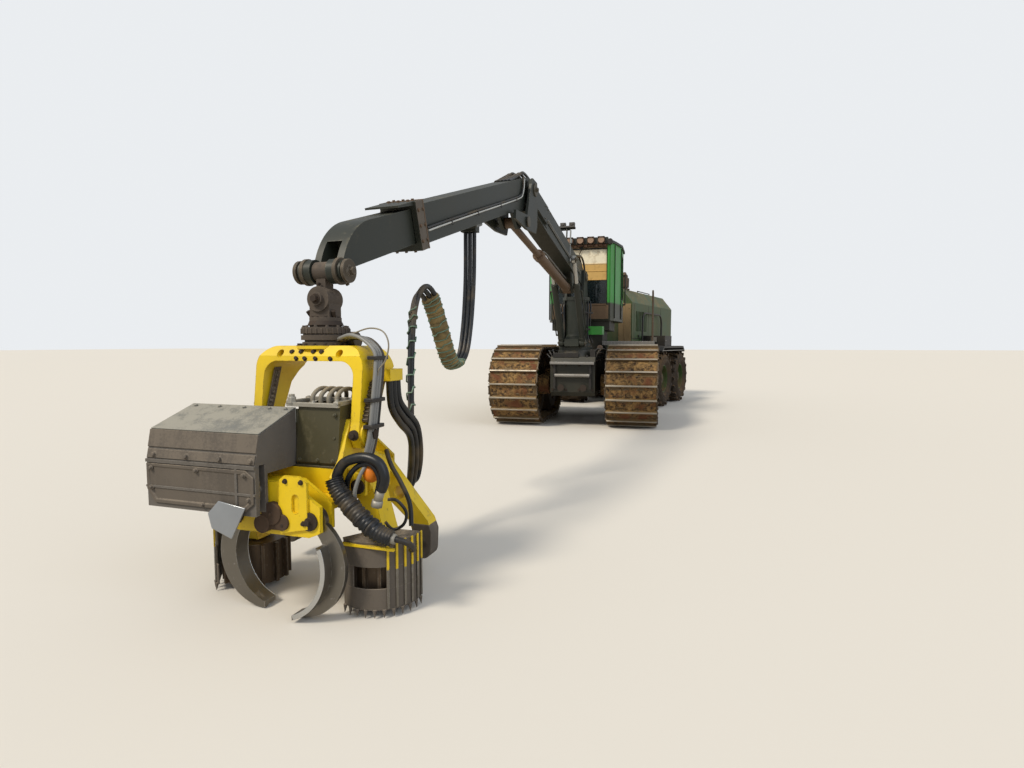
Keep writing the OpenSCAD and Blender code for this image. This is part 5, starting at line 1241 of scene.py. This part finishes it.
nose_grey = weathered(
    "scuffed grey-brown nose", "#4d463c", dusty=0.6, worn=0.9, dust="#7b6d5a", bare="#9b958a", metal=0.3,
    shine=0.55)
for side in (1, -1):
    for low, high, radius in ((0.158, 0.18, 0.072), (0.104, 0.128, 0.082)):
        bar((tip_along, low * side, -tip_below), (tip_along, high * side, -tip_below), radius, 28)
    bolt((tip_along, 0.18 * side, -tip_below), (0, side, 0), 0.05)
    for k in range(3):
        a = radians(20 + 10 * k)
        bolt((3.79 + 0.42 * cos(a), 0.103 * side, -0.352 + 0.42 * sin(a)), (0, side, 0), 0.022)
piece("tip_pins", on_jib, nose_grey, "jib_extension", 0.003)
eye_ahead, eye_below = 0.33, 0.45
eye_x = eye_ahead * cos(jib_angle) + eye_below * sin(jib_angle)
eye_z = eye_ahead * sin(jib_angle) - eye_below * cos(jib_angle)
for side in (1, -1):
    bar((0, 0.178 * side, 0), (0, 0.222 * side, 0), 0.078, 28)
    bar((eye_x, 0.215 * side, eye_z), (eye_x, 0.232 * side, eye_z), 0.062, 28)
    bolt((0.0, 0.222 * side, 0.0), (0, side, 0), 0.05)
piece("elbow_caps", on_jib, crane_pins, "jib", 0.003)


def on_boom_line(along, up):
    """A place on the boom, in the crane's frame."""
    x, z = along * cos(boom_angle) - up * sin(boom_angle), along * sin(boom_angle) + up * cos(boom_angle)
    return Vector((x, 0, boom_foot + z))


foot = on_boom_line(0.7, -0.42)
way = (elbow + Vector((eye_ahead, 0, -eye_below)) - foot).normalized()
bar(foot + 1.8 * way, foot + 1.905 * way, 0.082, 32)
bar(foot + 0.1 * way, foot + 0.16 * way, 0.08, 32)
for s in (0.2, 1.72):
    bar(foot + s * way + Vector((0, 0, 0.06)), foot + s * way + Vector((0, 0, 0.105)), 0.018, 8)
for k in range(8):
    turn = 2 * pi * k / 8
    out = Vector((0, cos(turn), 0)) + sin(turn) * way.cross(Vector((0, 1, 0)))
    bolt(foot + 1.905 * way + 0.066 * out, way, 0.018)
piece("jib_gland", on_crane, dusty_brown, "jib_barrel", 0.002)
marks = ((1.72, 0, 0.1), (1.6, 0.03, 0.115), (1.0, 0.04, 0.1), (0.45, 0.04, 0.1), (0.25, 0.03, 0.12))
points = [foot + s * way + Vector((0, y, z)) for s, y, z in marks]
pipe("jib_cylinder_pipe", on_crane, points, 0.02, pipe_steel, "jib_barrel", 2)

# the two lift cylinders
lift_foot = Vector((0.33, 0, 1.52))
way = (on_boom_line(1.15, -0.06) - lift_foot).normalized()
for side in (-1, 1):
    base = lift_foot + Vector((0, 0.192 * side, 0))
    high, low = base + 1.02 * way, base + 0.16 * way
    bar(base + 1.08 * way, base + 1.155 * way, 0.058, 28)
    bar(base + 0.08 * way, base + 0.12 * way, 0.058, 28)
    bar(low, low + Vector((0, 0.085 * side, 0)), 0.016, 8)
    bar(high, high + Vector((0, 0.085 * side, 0)), 0.016, 8)
    bar(low + Vector((0, 0.08 * side, 0)), high + Vector((0, 0.08 * side, 0)), 0.011, 10)
piece("lift_glands", on_crane, crane_green_darkened_as_shade, "lift_barrel", 0.002)

# Hood and rear end
# The pressed steel hood has dusty tan inner sheets at its front corner, seams, latches,
# vent louvres and a rear grille with mesh and tail lamps; the sheets' tan is partly dust
# and partly painted sunlight. The fenders have worn edges, the rear frame has a steel tow
# pin, and rubber hoses cross the waist.

# The front sheets' tan is partly dust and partly painted sunlight on the lit corner of a green hood.
tan_dust_and_sunlight = weathered(
    "tan dusty sheet with painted sunlight", "#8a7556", dusty=0.8, worn=0.3, dust="#a58a62", bare="#5c4f3d", shine=0.85)
block((0.44, 0.538, 1.56), (0.575, 0.556, 2.46))
block((0.6, 0.532, 1.56), (0.735, 0.556, 2.44))
block((0.575, 0.548, 1.56), (0.6, 0.556, 2.46))
bar((0.588, 0.535, 1.56), (0.588, 0.535, 2.44), 0.012, 10)
for z in (1.7, 2.02, 2.34):
    for x, y in ((0.48, 0.538), (0.7, 0.532)):
        bolt((x, y, z), (0, -1, 0), 0.022)
piece("hood_front_sheets", on_rear, tan_dust_and_sunlight, "hood", 0.004)

for side in (1, -1):
    x = 0.76 * side
    for y in (0.72, 1.85, 2.95):
        block((x - 0.003, y - 0.006, 1.54), (x + (0.004 if side > 0 else 0.003), y + 0.006, 2.44))
    block((min(x, x + 0.006 * side), 0.6, 1.62), (max(x, x + 0.006 * side), 4.0, 1.64))
    for k in range(8):
        for j in range(8):
            y, z = 0.86 + 0.11 * k, 1.83 + 0.055 * j
            block((x - 0.03 * side - 0.012, y, z), (x - 0.03 * side + 0.012, y + 0.06, z + 0.006),
                  Matrix.Rotation(radians(35 * side), 4, "Y"))
    for y in (1.05, 2.4, 3.6):
        block((min(x, x + 0.02 * side), y - 0.03, 1.66), (max(x, x + 0.02 * side), y + 0.03, 1.72))
for y in (1.45, 2.35, 3.25):
    block((-0.49, y - 0.01, 2.798), (0.49, y + 0.01, 2.806))
block((-0.3, 1.6, 2.798), (0.2, 2.2, 2.815))
for side in (1, -1):
    for y in (2.0, 3.0):
        bar((0.42 * side, y, 2.8), (0.42 * side, y, 2.85), 0.012, 8)
    bar((0.42 * side, 1.98, 2.85), (0.42 * side, 3.02, 2.85), 0.012, 8)
piece("hood_seams", on_rear, frame_green, "hood", 0.002)

for k in range(24):
    z = 1.6 + 0.033 * k
    block((-0.452, 4.035, z), (0.452, 4.04, z + 0.005))
for side in (1, -1):
    block((0.455 * side - 0.03, 4.052, 1.6), (0.455 * side + 0.03, 4.06, 2.38))
for x in (-0.45, 0.45):
    for z in (1.58, 2.0, 2.4):
        bolt((x, 4.06, z), (0, 1, 0), 0.024)
piece("grille_mesh", on_rear, black_paint, "hood", 0.001)
tail_red, t = blank_material("red tail lens")
skin(t, linear("#7e1511"), 0.2)
for side in (1, -1):
    block((0.62 * side - 0.055, 4.052, 1.62), (0.62 * side + 0.055, 4.075, 1.78))
piece("tail_lamps", on_rear, tail_red, "hood", 0.006)
for side in (1, -1):
    bar((0.6 * side, 4.04, 2.56), (0.6 * side, 4.13, 2.56), 0.062, 24)
    bar((0.6 * side, 4.13, 2.56), (0.6 * side, 4.14, 2.56), 0.055, 24)
    block((0.6 * side - 0.03, 4.03, 2.48), (0.6 * side + 0.03, 4.07, 2.52))
piece("rear_work_lamps", on_rear, lamp_lens, "hood", 0.004)

tow_y = 4.24
for low, high, radius, sides in ((0.8, 1.02, 0.029, 20), (0.985, 1.02, 0.045, 20), (1.02, 1.05, 0.01, 8)):
    bar((0, tow_y, low), (0, tow_y, high), radius, sides)
for side in (1, -1):
    for y in (0.75, 1.2, 2.9, 3.4, 3.9):
        for z in (0.7, 1.12):
            bolt((0.4 * side, y, z), (side, 0, 0), 0.034)
    for z in (0.78, 1.12):
        bolt((0.3 * side, 4.15, z), (0, 1, 0), 0.036)
    bar((0.16 * side, 0.1, 1.0), (0.2 * side, 0.45, 1.02), 0.02, 10)
bolt_ring(10, 0.05, 0, 0, 1.2, 0.018)
piece("rear_bolts", on_rear, dark_bolts, "rear_frame", 0.002)

for side in (1, -1):
    for k in range(10):
        y = 1.14 + 0.19 * k
        block((1.0 * side - 0.36, y, 1.4495), (1.0 * side + 0.36, y + 0.01, 1.4535))
    block((1.385 * side - 0.008, 0.94, 1.335), (1.385 * side + 0.008, 3.06, 1.352))
    for y in (1.36, 1.84):
        bolt((1.34 * side, y, 1.58), (side, 0, 0), 0.026)
    block((1.07 * side - 0.07, 1.285, 1.55), (1.07 * side + 0.07, 1.3, 1.66))
piece("fender_edges", on_rear, nose_bright, "rear_frame", 0.001)

bar((0.43, 1.0, 3.12), (0.43, 1.0, 3.16), 0.058, 24)
bar((0.43, 1.0, 3.13), (0.43, 0.93, 3.19), 0.05, 24)
for z in (2.86, 3.02):
    bar((0.43, 1.0, z), (0.43, 1.0, z + 0.012), 0.1, 28)
piece("exhaust_bands", on_rear, worn_steel, "hood", 0.002)

random.seed(5)
for k in range(6):
    side = 1 if k % 2 else -1
    x, z = (0.1 + 0.05 * (k // 2)) * side, 0.98 + 0.06 * (k % 3)
    points = [(x, -0.7, z), (x * 1.3, -0.4, z + 0.05), (x * 1.6, -0.05, z + 0.1 * random.random()),
              (x * 1.5, 0.25, z + 0.04), (x, 0.6, z)]
    made = hose_mesh("waist_hose_%d" % (k + 1), on_rear, points, 0.032, hose_rubber)
    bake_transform(made)
